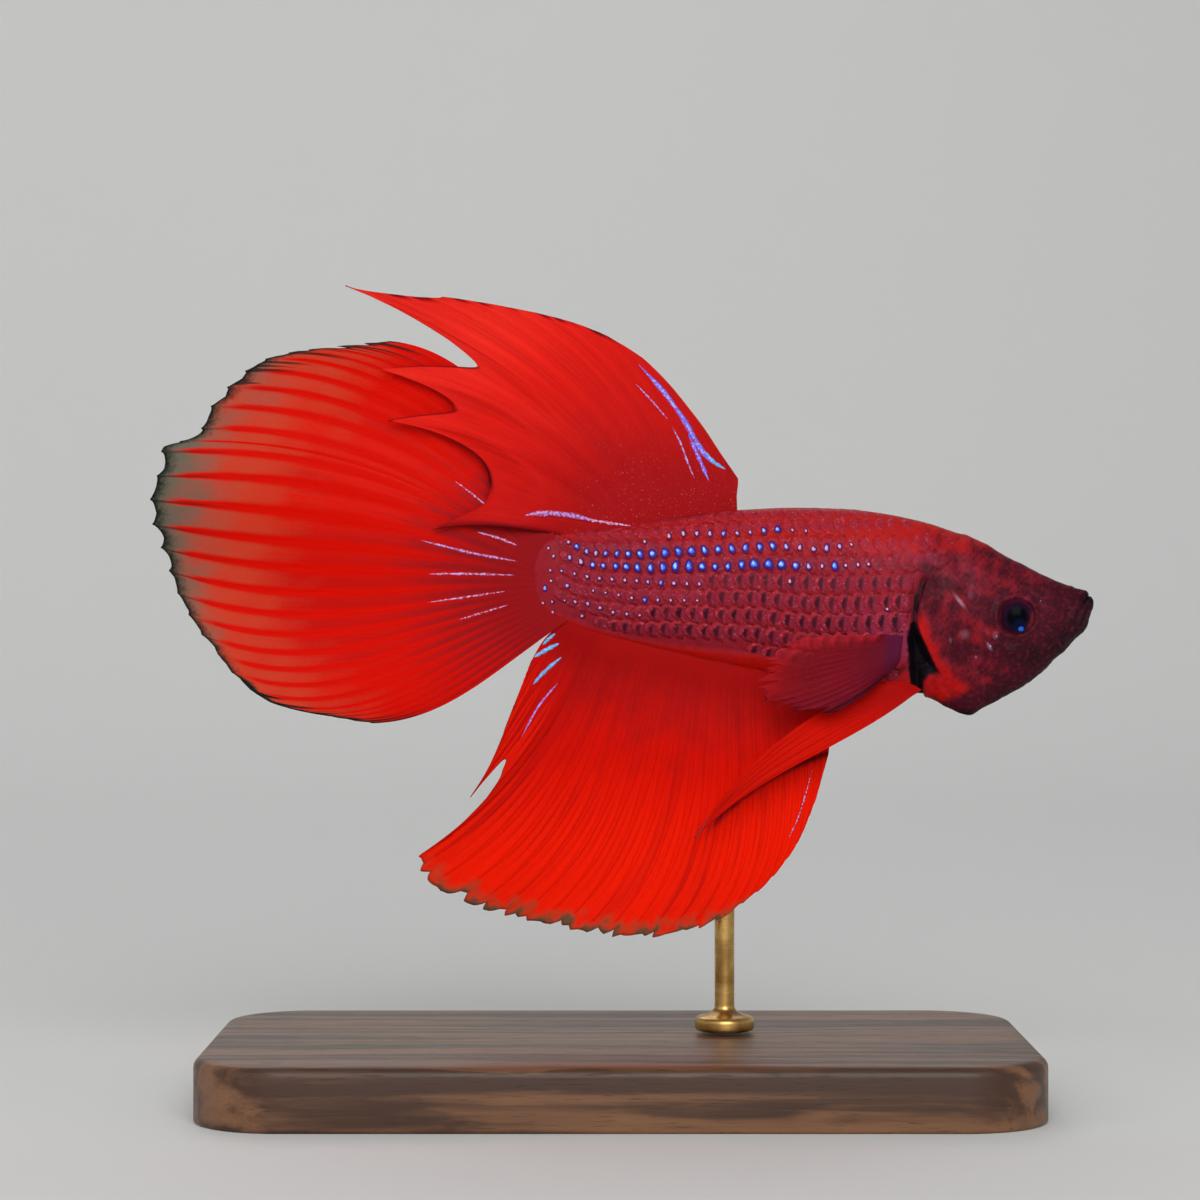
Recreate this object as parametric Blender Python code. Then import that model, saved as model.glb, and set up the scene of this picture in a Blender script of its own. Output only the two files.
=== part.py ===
"""A male betta fish, life size, held over a flat display base by one rod.

The fish faces +X, its back is up (+Z) and its right flank is at -Y. The origin is at the
middle of the base's underside. Sizes and places below are in millimetres; metres() turns
them into Blender's units. The fish is one lofted body parted by thin cuts, plus fins that
are fans of curved rays, each with its own thickness.
"""

import math
from collections import namedtuple

import bmesh
import bpy
import numpy as np

MILLIMETRE = 0.001
GAP = 0.3  # clearance between neighbouring solids
FIN_THICKNESS = 0.6

# Display stand
BASE_LENGTH, BASE_WIDTH, BASE_THICKNESS = 66.0, 36.0, 5.0
BASE_CORNER_RADIUS, BASE_CHAMFER = 7.0, 0.8
ROD_X, ROD_Y, ROD_RADIUS = 8.5, 1.8, 0.8
FOOT_RADIUS, FOOT_HEIGHT, ROD_SIDES = 2.4, 1.2, 16

# Body outline seen from the side: (x, height) along the back and along the belly
BACK = [
    (-7.3, 43.0), (-7.0, 43.9), (-6.2, 44.7), (-5.0, 45.1), (-2.0, 45.5), (4.0, 46.8),
    (9.6, 47.6), (14.0, 47.8), (18.0, 47.7), (21.0, 47.35), (24.0, 46.75), (27.0, 45.85),
    (29.0, 45.0), (31.0, 43.85), (33.0, 42.75), (35.0, 41.85), (36.6, 41.2), (37.4, 40.95),
    (37.9, 40.6), (38.15, 40.1),
]
BELLY = [
    (-7.3, 41.4), (-7.0, 40.2), (-6.2, 39.1), (-5.0, 38.4), (0.0, 36.9), (6.0, 35.5),
    (12.0, 34.3), (18.0, 33.2), (22.0, 32.7), (24.6, 32.45), (26.4, 31.5), (28.2, 30.85),
    (29.6, 31.6), (31.5, 32.6), (33.0, 33.5), (34.0, 34.3), (35.5, 35.75), (36.6, 36.85),
    (37.5, 37.85), (37.95, 38.9), (38.15, 39.5),
]
# Body seen from above: (x, half width), and the height at which it is widest
HALF_WIDTH = [
    (-7.3, 0.35), (-6.6, 0.75), (-5.0, 1.2), (-2.0, 1.65), (3.0, 2.3), (9.0, 2.85),
    (15.0, 3.2), (21.0, 3.4), (25.5, 3.5), (29.0, 3.25), (32.0, 2.75), (34.5, 2.15),
    (36.4, 1.5), (37.5, 0.95), (38.0, 0.5), (38.15, 0.28),
]
WIDEST = [
    (-7.3, 42.2), (0.0, 41.6), (10.0, 41.0), (20.0, 40.4), (26.0, 39.4), (32.0, 38.7),
    (36.0, 39.0), (38.15, 39.8),
]
# Roundness of the section below its widest height: 2 is an ellipse, less is a keel
KEEL = [(-7.3, 2.0), (4.0, 1.8), (18.0, 2.0), (24.0, 1.7), (28.2, 1.35), (33.0, 1.8), (38.15, 2.0)]
ROUND_BACK = 2.1
RING_SIDES = 24

HEAD_REAR, TRUNK_REAR, SNOUT = 23.2, 6.0, 38.15
EYE_CENTRE, EYE_RADIUS, EYE_FLATNESS, EYE_STANDS_OUT = (32.0, 38.85), 1.45, 0.72, 0.45

# Each gill cover is a curved plate let into the cheek, its rear edge lifted; (x, height) down
# its rear and its front edge
GILL_PLATE, GILL_LIFT = 0.6, 0.3
GILL_REAR_EDGE = [
    (25.9, 41.7), (24.7, 40.8), (24.1, 39.2), (24.1, 37.6), (24.8, 35.9), (25.8, 34.5), (27.0, 33.5),
]
GILL_FRONT_EDGE = [
    (27.2, 41.7), (28.3, 40.8), (28.9, 39.2), (29.1, 37.6), (29.1, 35.9), (28.8, 34.5), (28.2, 33.5),
]

# The cleft of the upturned mouth and the lower edge of the cheek, from the lips downward
JAW_LINE = [
    (39.5, 40.9), (37.8, 40.45), (37.2, 39.6), (36.7, 38.6), (36.3, 37.5), (35.2, 36.4),
    (33.6, 34.9), (31.6, 33.6), (30.2, 31.4), (30.2, 29.5), (39.5, 29.5),
]

# A fin ray leaves (x, z) base at the angle lean and reaches its tip at the angle sweep.
# Angles are in degrees from +X towards +Z; u orders the rays from the front to the rear.
Ray = namedtuple("Ray", "u base lean tip sweep")
# Between two rays the webbing is cut back by depth, a share of the rays' length.
Notch = namedtuple("Notch", "start end depth")

DORSAL_RAYS = [
    Ray(0.00, (9.4, 47.9), 92, (9.5, 49.5), 95), Ray(0.05, (8.9, 47.9), 98, (8.3, 51.3), 110),
    Ray(0.11, (8.2, 47.8), 103, (5.8, 55.0), 122), Ray(0.19, (7.3, 47.7), 107, (1.6, 59.6), 132),
    Ray(0.29, (6.1, 47.5), 110, (-3.0, 62.1), 144), Ray(0.39, (4.9, 47.3), 113, (-8.0, 63.4), 150),
    Ray(0.50, (3.5, 47.0), 117, (-14.4, 64.5), 156), Ray(0.62, (2.1, 46.75), 121, (-22.4, 65.5), 158),
    Ray(0.76, (0.5, 46.4), 128, (-19.5, 58.5), 174), Ray(0.89, (-1.0, 46.1), 138, (-18.9, 54.2), 178),
    Ray(1.00, (-2.3, 45.9), 156, (-15.0, 45.3), 194),
]
DORSAL_NOTCHES = [
    Notch(0.50, 0.62, 0.07), Notch(0.62, 0.76, 0.36), Notch(0.76, 0.89, 0.27), Notch(0.89, 1.0, 0.45),
]

CAUDAL_RAYS = [
    Ray(0.00, (-5.2, 45.5), 100, (-19.0, 61.0), 178), Ray(0.12, (-6.4, 45.0), 116, (-28.3, 59.7), 183),
    Ray(0.24, (-7.2, 44.4), 131, (-33.5, 55.0), 180), Ray(0.36, (-7.6, 43.6), 147, (-36.9, 52.0), 183),
    Ray(0.48, (-7.7, 42.8), 163, (-37.9, 47.5), 173), Ray(0.60, (-7.7, 41.8), 178, (-36.9, 43.7), 165),
    Ray(0.70, (-7.5, 40.9), 188, (-35.6, 40.3), 160), Ray(0.80, (-7.1, 40.0), 197, (-32.8, 36.3), 157),
    Ray(0.90, (-6.4, 39.0), 207, (-28.3, 32.2), 162), Ray(1.00, (-5.2, 38.1), 217, (-20.5, 30.4), 178),
]

ANAL_RAYS = [
    Ray(0.00, (17.3, 33.0), 264, (16.8, 27.6), 262), Ray(0.05, (16.3, 33.15), 266, (15.5, 23.3), 252),
    Ray(0.12, (14.8, 33.4), 268, (13.7, 19.6), 240), Ray(0.22, (12.6, 33.85), 268, (10.5, 16.2), 228),
    Ray(0.34, (10.0, 34.35), 266, (6.2, 13.7), 222), Ray(0.48, (7.0, 35.0), 264, (0.5, 12.9), 223),
    Ray(0.62, (3.8, 35.65), 260, (-5.5, 13.9), 220), Ray(0.76, (0.6, 36.4), 256, (-12.0, 15.6), 211),
    Ray(0.88, (-2.2, 37.15), 250, (-16.5, 19.4), 209), Ray(0.94, (-3.5, 37.55), 246, (-12.2, 24.0), 234),
    Ray(1.00, (-4.7, 38.0), 238, (-7.9, 32.7), 240),
]
ANAL_NOTCHES = [Notch(0.88, 0.94, 0.36), Notch(0.94, 1.0, 0.12)]

PECTORAL_RAYS = [
    Ray(0.00, (22.5, 37.3), 178, (14.2, 37.1), 183), Ray(0.25, (22.45, 36.7), 186, (11.8, 35.4), 188),
    Ray(0.50, (22.4, 36.0), 195, (11.2, 33.3), 191), Ray(0.75, (22.35, 35.3), 208, (13.0, 31.6), 195),
    Ray(1.00, (22.3, 34.6), 226, (17.2, 31.0), 205),
]

PELVIC_RAYS = [
    Ray(0.00, (23.4, 31.9), 215, (5.8, 21.3), 226), Ray(0.35, (22.8, 32.1), 209, (8.3, 25.2), 223),
    Ray(0.70, (22.2, 32.2), 203, (10.6, 28.6), 214), Ray(1.00, (21.7, 32.3), 198, (13.2, 31.0), 200),
]

# How far the paired fins stand out: the pectorals at their tips, the pelvics at root and tip
PECTORAL_REACH = 1.7
PELVIC_ROOT, PELVIC_REACH = 1.3, 2.6

RED = (0.62, 0.012, 0.008)
MAROON = (0.20, 0.012, 0.014)
EYE_BLACK = (0.010, 0.010, 0.014)
WALNUT = (0.075, 0.036, 0.018)
BRASS = (0.72, 0.50, 0.22)


def metres(x, y, z):
    """Turns millimetres into Blender's metres."""
    return (x * MILLIMETRE, y * MILLIMETRE, z * MILLIMETRE)


def through(points, x):
    """A smooth curve through (x, value) points that never overshoots them, read at x."""
    px, py = (np.array(column, float) for column in zip(*points))
    run = np.diff(px)
    slope = np.diff(py) / run
    tangent = np.zeros(len(px))
    tangent[0], tangent[-1] = slope[0], slope[-1]
    before, after = slope[:-1], slope[1:]
    same_way = before * after > 0
    harmonic = 2.0 * before * after / np.where(same_way, before + after, 1.0)
    tangent[1:-1] = np.where(same_way, harmonic, 0.0)
    x = np.clip(x, px[0], px[-1])
    i = np.clip(np.searchsorted(px, x) - 1, 0, len(run) - 1)
    t = (x - px[i]) / run[i]
    start, end = py[i], py[i + 1]
    pull_start, pull_end = tangent[i] * run[i], tangent[i + 1] * run[i]
    return (
        start * (1 + 2 * t) * (1 - t) ** 2
        + pull_start * t * (1 - t) ** 2
        + end * t * t * (3 - 2 * t)
        + pull_end * t * t * (t - 1)
    )


def smoothstep(low, high, x):
    """0 below low, 1 above high, and an S-curve between them."""
    t = np.clip((np.asarray(x, float) - low) / (high - low), 0.0, 1.0)
    return t * t * (3.0 - 2.0 * t)


def body_half_width(x, z):
    """The body's half width at a place seen from the side; 0 outside its outline."""
    widest = through(WIDEST, x)
    back, belly = through(BACK, x), through(BELLY, x)
    above = z >= widest
    share = np.where(above, (z - widest) / (back - widest), (widest - z) / (widest - belly))
    roundness = np.where(above, ROUND_BACK, through(KEEL, x))
    share = np.clip(share, 0.0, 1.0)
    return through(HALF_WIDTH, x) * (1.0 - share**roundness) ** (1.0 / roundness)


def belly_height(x, y):
    """The height of the body's underside at a place seen from below."""
    share = min(abs(y) / float(through(HALF_WIDTH, x)), 1.0)
    roundness = float(through(KEEL, x))
    widest = float(through(WIDEST, x))
    drop = (1.0 - share**roundness) ** (1.0 / roundness)
    return widest - (widest - float(through(BELLY, x))) * drop


def body_ring(x):
    """Points round the body's section at x."""
    widest = float(through(WIDEST, x))
    ring = []
    for side in range(RING_SIDES):
        angle = 2.0 * math.pi * (side + 0.5) / RING_SIDES
        across, up = math.cos(angle), math.sin(angle)
        roundness = ROUND_BACK if up > 0 else float(through(KEEL, x))
        reach = float(through(BACK, x)) - widest if up > 0 else widest - float(through(BELLY, x))
        z = widest + math.copysign(reach * abs(up) ** (2.0 / roundness), up)
        y = float(through(HALF_WIDTH, x)) * abs(across) ** (2.0 / roundness)
        ring.append((x, math.copysign(y, across), z))
    return ring


def material(name, colour, roughness, metallic=0.0):
    """A plain Principled finish."""
    finish = bpy.data.materials.new(name)
    finish.use_nodes = True
    shader = finish.node_tree.nodes["Principled BSDF"]
    shader.inputs["Base Color"].default_value = (*colour, 1.0)
    shader.inputs["Roughness"].default_value = roughness
    shader.inputs["Metallic"].default_value = metallic
    return finish


def add_object(name, bm, finish, sharp_angle=40.0):
    """Puts a bmesh into the scene as one smooth-shaded object."""
    bmesh.ops.recalc_face_normals(bm, faces=bm.faces)
    mesh = bpy.data.meshes.new(name)
    bm.to_mesh(mesh)
    bm.free()
    mesh.shade_smooth()
    mesh.set_sharp_from_angle(angle=math.radians(sharp_angle))
    mesh.materials.append(finish)
    made = bpy.data.objects.new(name, mesh)
    bpy.context.scene.collection.objects.link(made)
    return made


def add_cutter(name, bm):
    """A closed shape that only cuts others."""
    cutter = add_object(name, bm, material("cutter", RED, 0.5))
    cutter.hide_render = True
    cutter.display_type = "WIRE"
    return cutter


def cut(target, cutter, operation="DIFFERENCE"):
    """Adds a Boolean modifier that cuts target with cutter."""
    modifier = target.modifiers.new(cutter.name, "BOOLEAN")
    modifier.operation = operation
    modifier.solver = "EXACT"
    modifier.object = cutter


def loft(rings):
    """A closed bmesh skinned over rings of points in millimetres, flat at both ends."""
    bm = bmesh.new()
    loops = []
    for ring in rings:
        corners = [bm.verts.new(metres(*point)) for point in ring]
        loops.append([bm.edges.new((a, b)) for a, b in zip(corners, corners[1:] + corners[:1])])
    for first, second in zip(loops, loops[1:]):
        bmesh.ops.bridge_loops(bm, edges=first + second)
    for end in (loops[0], loops[-1]):
        bmesh.ops.contextual_create(bm, geom=end)
    bmesh.ops.triangulate(bm, faces=[face for face in bm.faces if len(face.verts) > 4])
    return bm


def prism(outline, half_depth):
    """A closed bmesh: a side-view outline carried from -Y to +Y."""
    bm = bmesh.new()
    corners = [bm.verts.new(metres(x, -half_depth, z)) for x, z in outline]
    face = bm.faces.new(corners)
    grown = bmesh.ops.extrude_face_region(bm, geom=[face])["geom"]
    moved = [part for part in grown if isinstance(part, bmesh.types.BMVert)]
    bmesh.ops.translate(bm, vec=metres(0.0, 2.0 * half_depth, 0.0), verts=moved)
    return bm


def ellipsoid(centre, radius, flatness, segments=16):
    """A closed bmesh ball, flattened along Y."""
    bm = bmesh.new()
    bmesh.ops.create_uvsphere(bm, u_segments=segments, v_segments=segments // 2, radius=radius * MILLIMETRE)
    for vertex in bm.verts:
        vertex.co.y *= flatness
    bmesh.ops.translate(bm, vec=metres(*centre), verts=bm.verts)
    return bm


def stations(front, rear, spacing):
    """Evenly spaced places along the fish, from rear to front."""
    return list(np.linspace(rear, front, max(2, round((front - rear) / spacing) + 1)))


def rounded_front(start, end, count):
    """Places that crowd together towards a blunt end."""
    turn = np.linspace(0.0, math.pi / 2.0, count + 1)[1:]
    return [start + (end - start) * math.sin(angle) for angle in turn]


def build_head(finish):
    """The head with its eye sockets and cheek recesses, and the lower jaw cut from it."""
    blunt = rounded_front(36.0, SNOUT, 6)
    head = add_object("head", loft([body_ring(x) for x in stations(36.0, HEAD_REAR, 0.85) + blunt]), finish)
    jaw = add_object("lower_jaw", loft([body_ring(x) for x in stations(36.0, 29.4, 0.85) + blunt]), finish)
    jaw_cutter = add_cutter("jaw_cutter", prism(JAW_LINE, 6.0))
    shift = GAP / math.sqrt(2.0)
    clear = [(x - shift, z + shift) for x, z in JAW_LINE]
    clear_cutter = add_cutter("jaw_clearance_cutter", prism(clear, 6.0))
    cut(jaw, jaw_cutter, "INTERSECT")
    cut(head, clear_cutter)
    for side, label in ((-1.0, "right"), (1.0, "left")):
        build_eye(head, side, label)
        build_gill_cover(head, side, label, finish)


def build_eye(head, side, label):
    """An eyeball and the socket that it sits in."""
    eye_x, eye_z = EYE_CENTRE
    depth = float(body_half_width(eye_x, eye_z)) + EYE_STANDS_OUT - EYE_RADIUS * EYE_FLATNESS
    place = (eye_x, side * depth, eye_z)
    cut(head, add_cutter("socket_" + label, ellipsoid(place, EYE_RADIUS + GAP, EYE_FLATNESS)))
    add_object("eye_" + label, ellipsoid(place, EYE_RADIUS, EYE_FLATNESS), material("eye", EYE_BLACK, 0.08))


def gill_sheet(side, grow):
    """The middle surface of a gill cover, its outline grown by grow."""
    bm = bmesh.new()
    bmesh.ops.create_grid(bm, x_segments=5, y_segments=8, size=0.5)
    place = np.linspace(0.0, 1.0, len(GILL_REAR_EDGE))
    rows = {}
    for vertex in bm.verts:
        down = round(0.5 - vertex.co.y, 6)
        if down not in rows:
            edges = [[float(through(list(zip(place, column)), down)) for column in zip(*edge)]
                     for edge in (GILL_REAR_EDGE, GILL_FRONT_EDGE)]
            rows[down] = edges
        (rear_x, rear_z), (front_x, front_z) = rows[down]
        across = vertex.co.x + 0.5
        x = rear_x - grow + (front_x - rear_x + 2.0 * grow) * across
        z = rear_z + (front_z - rear_z) * across + grow * (1.0 - 2.0 * down)
        lift = GILL_LIFT * (1.0 - across) ** 2
        outer = float(body_half_width(x, z)) - GILL_PLATE / 2.0 + lift
        vertex.co = metres(x, side * outer, z)
    return bm


def build_gill_cover(head, side, label, finish):
    """A gill cover, and the recess that it leaves in the cheek."""
    plate = add_object("gill_cover_" + label, gill_sheet(side, 0.0), finish)
    thicken(plate, GILL_PLATE)
    cutter = add_cutter("gill_recess_" + label, gill_sheet(side, GAP))
    thicken(cutter, GILL_PLATE + 2.0 * GAP)
    cut(head, cutter)


def build_trunk(finish):
    """The trunk and the tail stalk, two lengths of the body."""
    trunk = stations(HEAD_REAR - GAP, TRUNK_REAR, 1.3)
    stalk = rounded_front(-5.0, -7.3, 4)[::-1] + stations(TRUNK_REAR - GAP, -5.0, 1.15)
    for name, places in (("trunk", trunk), ("tail_stalk", stalk)):
        add_object(name, loft([body_ring(x) for x in places]), finish)


def thicken(sheet, thickness):
    """Gives a sheet its thickness, half to each side."""
    modifier = sheet.modifiers.new("thickness", "SOLIDIFY")
    modifier.thickness = thickness * MILLIMETRE
    modifier.offset = 0.0
    modifier.use_rim = True


def margin(notches, u):
    """How much of a ray's length the webbing keeps at u."""
    kept = np.ones_like(u)
    for notch in notches:
        t = np.clip((u - notch.start) / (notch.end - notch.start), 0.0, 1.0)
        kept -= notch.depth * (1.0 - np.abs(2.0 * t - 1.0) ** 3.0)
    return kept


def fin_plane(rays, notches, u, v):
    """Side-view places of points on a fin: u picks the ray, v runs from its base to its edge."""
    order = [ray.u for ray in rays]

    def column(values):
        return through(list(zip(order, values)), u)

    base = np.array([column([ray.base[axis] for ray in rays]) for axis in (0, 1)])
    tip = np.array([column([ray.tip[axis] for ray in rays]) for axis in (0, 1)])
    lean, sweep = (np.radians(column(angles)) for angles in zip(*[(r.lean, r.sweep) for r in rays]))
    pull = 0.36 * np.hypot(*(tip - base))
    first = base + pull * np.array([np.cos(lean), np.sin(lean)])
    second = tip - pull * np.array([np.cos(sweep), np.sin(sweep)])
    t = v * margin(notches, u)
    return base * (1 - t) ** 3 + 3 * first * t * (1 - t) ** 2 + 3 * second * t * t * (1 - t) + tip * t**3


def build_fin(name, rays, notches, sway, finish, per_ray, rows):
    """A fin: a fan of rays laid out on a grid, moved sideways by sway and thickened."""
    bm = bmesh.new()
    columns = per_ray * (len(rays) - 1)
    bmesh.ops.create_grid(bm, x_segments=columns, y_segments=rows, size=0.5)
    places = np.array([vertex.co for vertex in bm.verts]) + 0.5
    u = np.interp(places[:, 0], np.linspace(0.0, 1.0, len(rays)), [ray.u for ray in rays])
    v = np.clip(places[:, 1], 0.0, 1.0)
    x, z = fin_plane(rays, notches, u, v)
    for vertex, *place in zip(bm.verts, x, sway(u, v), z):
        vertex.co = metres(*place)
    thicken(add_object(name, bm, finish), FIN_THICKNESS)


def dorsal_sway(u, v):
    """The rear of the dorsal fin swings to the right of the tail fin it overlaps."""
    over_tail = -1.9 * smoothstep(0.40, 0.75, u) * smoothstep(0.08, 0.5, v)
    return over_tail + 0.35 * v * np.sin(2.0 * math.pi * (1.6 * u + 0.1)) * (1.0 - u)


def caudal_sway(u, v):
    """Slow waves that grow towards the tail fin's edge."""
    return 1.1 * v**1.4 * np.sin(2.0 * math.pi * (1.9 * u + 0.02)) + 0.3 * v * (1.0 - u)


def anal_sway(u, v):
    """Slow waves, with the fin bowed to the right where the rod passes it."""
    bow = -0.45 * smoothstep(0.1, 0.35, u) * (1.0 - smoothstep(0.55, 0.8, u)) * smoothstep(0.0, 0.3, v)
    return bow + 0.9 * v**1.5 * np.sin(2.0 * math.pi * 1.5 * (u - 0.42)) * smoothstep(0.45, 0.7, u)


def pectoral_sway(side):
    """A pectoral fin lies along the flank at its root and stands away from it at its tips."""
    order = [ray.u for ray in PECTORAL_RAYS]
    roots = [float(body_half_width(*ray.base)) + GAP + FIN_THICKNESS / 2.0 for ray in PECTORAL_RAYS]

    def sway(u, v):
        away = PECTORAL_REACH * np.sin(0.5 * math.pi * v) + 0.15 * v * np.sin(2.0 * math.pi * u)
        return side * (np.interp(u, order, roots) + away)

    return sway


def pelvic_sway(side):
    """The pelvic fins start side by side under the throat and spread towards their tips."""

    def sway(u, v):
        return side * (PELVIC_ROOT + PELVIC_REACH * np.sin(0.5 * math.pi * v))

    return sway


def build_fins(finish):
    """The three fins of the midline and the two pairs."""
    build_fin("dorsal_fin", DORSAL_RAYS, DORSAL_NOTCHES, dorsal_sway, finish, 4, 7)
    build_fin("caudal_fin", CAUDAL_RAYS, [], caudal_sway, finish, 3, 8)
    build_fin("anal_fin", ANAL_RAYS, ANAL_NOTCHES, anal_sway, finish, 4, 7)
    for side, label in ((-1.0, "right"), (1.0, "left")):
        build_fin("pectoral_fin_" + label, PECTORAL_RAYS, [], pectoral_sway(side), finish, 2, 6)
        build_fin("pelvic_fin_" + label, PELVIC_RAYS, [], pelvic_sway(side), finish, 2, 9)


def build_base(finish):
    """The flat base with rounded corners and a chamfered upper edge."""
    bm = bmesh.new()
    bmesh.ops.create_cube(bm, size=1.0)
    bmesh.ops.scale(bm, vec=metres(BASE_LENGTH, BASE_WIDTH, BASE_THICKNESS), verts=bm.verts)
    bmesh.ops.translate(bm, vec=metres(0.0, 0.0, BASE_THICKNESS / 2.0), verts=bm.verts)
    upright = [e for e in bm.edges if abs(e.verts[0].co.z - e.verts[1].co.z) > MILLIMETRE]
    bmesh.ops.bevel(bm, geom=upright, offset=BASE_CORNER_RADIUS * MILLIMETRE, segments=6,
                    profile=0.5, affect="EDGES")
    level = (BASE_THICKNESS - 0.01) * MILLIMETRE
    rim = [e for e in bm.edges if min(v.co.z for v in e.verts) > level]
    bmesh.ops.bevel(bm, geom=rim, offset=BASE_CHAMFER * MILLIMETRE, segments=2, profile=0.5, affect="EDGES")
    add_object("stand_base", bm, finish, sharp_angle=30.0)


def build_rod(finish):
    """The rod: a turned foot on the base, a straight shaft, and an end cut to the belly."""
    foot = BASE_THICKNESS + GAP
    profile = [
        (FOOT_RADIUS - 0.3, foot), (FOOT_RADIUS, foot + 0.3), (FOOT_RADIUS, foot + FOOT_HEIGHT - 0.3),
        (FOOT_RADIUS - 0.5, foot + FOOT_HEIGHT), (ROD_RADIUS + 0.3, foot + FOOT_HEIGHT + 0.2),
        (ROD_RADIUS, foot + FOOT_HEIGHT + 0.9),
    ]
    turns = [2.0 * math.pi * side / ROD_SIDES for side in range(ROD_SIDES)]
    rings = [
        [(ROD_X + r * math.cos(a), ROD_Y + r * math.sin(a), z) for a in turns] for r, z in profile
    ]
    shaft = [(x, y) for x, y, _ in rings[-1]]
    rings.append([(x, y, belly_height(x, y) - GAP * 1.8) for x, y in shaft])
    add_object("stand_rod", loft(rings), finish, sharp_angle=30.0)


def main():
    """Clears the scene and builds the fish and its stand."""
    for old in list(bpy.data.objects):
        bpy.data.objects.remove(old)
    dark_flesh = material("head_skin", MAROON, 0.35)
    flesh = material("body_skin", RED, 0.4)
    build_head(dark_flesh)
    build_trunk(flesh)
    build_fins(material("fin", RED, 0.45))
    build_base(material("walnut", WALNUT, 0.5))
    build_rod(material("brass", BRASS, 0.25, 1.0))


main()
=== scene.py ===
"""A male betta fish, life size and still, on a plain walnut and brass display stand.

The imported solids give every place: each piece is fitted to the box of the node that it stands
for. Shapes are worked out in millimetres on grids of two parameters and turned into metres when
they become meshes. The fish faces +X, its back is up and its right flank is at -Y.
"""

import logging
import math
from collections.abc import Callable, Sequence
from dataclasses import dataclass
from enum import Enum
from typing import NamedTuple, Union

import bpy
import numpy as np
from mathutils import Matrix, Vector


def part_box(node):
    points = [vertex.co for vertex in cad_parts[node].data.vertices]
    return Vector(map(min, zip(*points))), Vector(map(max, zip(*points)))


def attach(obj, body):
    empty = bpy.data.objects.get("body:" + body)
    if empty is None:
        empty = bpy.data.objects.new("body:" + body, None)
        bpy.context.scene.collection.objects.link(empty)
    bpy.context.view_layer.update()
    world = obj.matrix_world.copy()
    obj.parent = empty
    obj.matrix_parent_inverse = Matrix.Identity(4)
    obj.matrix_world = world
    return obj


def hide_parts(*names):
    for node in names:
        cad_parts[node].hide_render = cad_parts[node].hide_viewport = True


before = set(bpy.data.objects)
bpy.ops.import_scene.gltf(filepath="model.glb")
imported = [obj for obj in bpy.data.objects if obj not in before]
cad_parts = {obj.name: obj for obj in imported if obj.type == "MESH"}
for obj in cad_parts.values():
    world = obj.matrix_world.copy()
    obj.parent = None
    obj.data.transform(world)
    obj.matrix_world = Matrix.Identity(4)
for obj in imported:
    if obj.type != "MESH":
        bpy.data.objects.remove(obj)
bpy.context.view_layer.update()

log = logging.getLogger("betta")

Array = np.ndarray
Point = tuple[float, float]
Spot = tuple[Point, Point, float, float]
Tones = tuple[Array, Array, Array]
Colour = tuple[int, int, int]
Socket = bpy.types.NodeSocket
Material = bpy.types.Material

MILLIMETRE = 0.001
TURN = 2 * math.pi
QUARTER = math.pi / 2
VIEW_CENTRE = (-1.6, 40.2)
VIEW_DISTANCE = 268.7


class Side(Enum):
    """A flank of the fish, with the sign of its Y."""

    RIGHT = -1
    LEFT = 1

    @property
    def label(self) -> str:
        """The side's name, as pieces carry it."""
        return self.name.lower()


# ---- Curves and small numerical tools ----


def through(points: Sequence[Point], x: Array | float) -> Array:
    """Reads a smooth curve through (x, value) points that never overshoots them.

    Between two points it is the cubic with the harmonic mean of the neighbouring slopes.

    Args:
        points: the curve's points, in order of x.
        x: where to read it; outside the points it keeps its end values.

    Returns:
        The curve's values, in x's shape.
    """
    px, py = (np.array(column, float) for column in zip(*points))
    run = np.diff(px)
    slope = np.diff(py) / run
    tangent = np.zeros(len(px))
    tangent[0], tangent[-1] = slope[0], slope[-1]
    before, after = slope[:-1], slope[1:]
    same_way = before * after > 0
    harmonic = 2 * before * after / np.where(same_way, before + after, 1)
    tangent[1:-1] = np.where(same_way, harmonic, 0)
    x = np.clip(x, px[0], px[-1])
    i = np.clip(np.searchsorted(px, x) - 1, 0, len(run) - 1)
    t = (x - px[i]) / run[i]
    return (
        py[i] * (1 + 2 * t) * (1 - t) ** 2
        + tangent[i] * run[i] * t * (1 - t) ** 2
        + py[i + 1] * t * t * (3 - 2 * t)
        + tangent[i + 1] * run[i] * t * t * (t - 1)
    )


def ramp(low: float, high: float, x: Array) -> Array:
    """0 at low, 1 at high and an S-curve between them; low may be the larger."""
    t = np.clip((np.asarray(x, float) - low) / (high - low), 0, 1)
    return t * t * (3 - 2 * t)


def bump(x: Array, width: float) -> Array:
    """A bell, exp(-(x / width) ** 2)."""
    return np.exp(-((x / width) ** 2))


def vectors(*values: Array | float) -> Array:
    """Joins numbers, or arrays of them, into vectors along a new last axis."""
    return np.stack(np.broadcast_arrays(*values), axis=-1)


def turns(count: int) -> Array:
    """Angles that divide a whole turn evenly, from 0."""
    return np.linspace(0, TURN, count, endpoint=False)


def waves(x: Array, z: Array, length: float, seed: int, count: int = 7) -> Array:
    """An uneven surface: the mean of sine waves that run in seeded directions.

    Args:
        x: first coordinate.
        z: second coordinate.
        length: the mean wavelength; the waves run from 0.6 to 1.6 times it.
        seed: picks the waves.
        count: how many waves.

    Returns:
        Values from about -1 to 1, in x's shape.
    """
    random = np.random.default_rng(seed)
    total = np.zeros(np.broadcast(x, z).shape)
    for angle, size, phase in random.uniform(size=(count, 3)):
        heading = TURN * angle
        pace = TURN / (length * (0.6 + size))
        total += np.sin(pace * (x * math.cos(heading) + z * math.sin(heading)) + TURN * phase)
    return total / math.sqrt(count)


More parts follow.
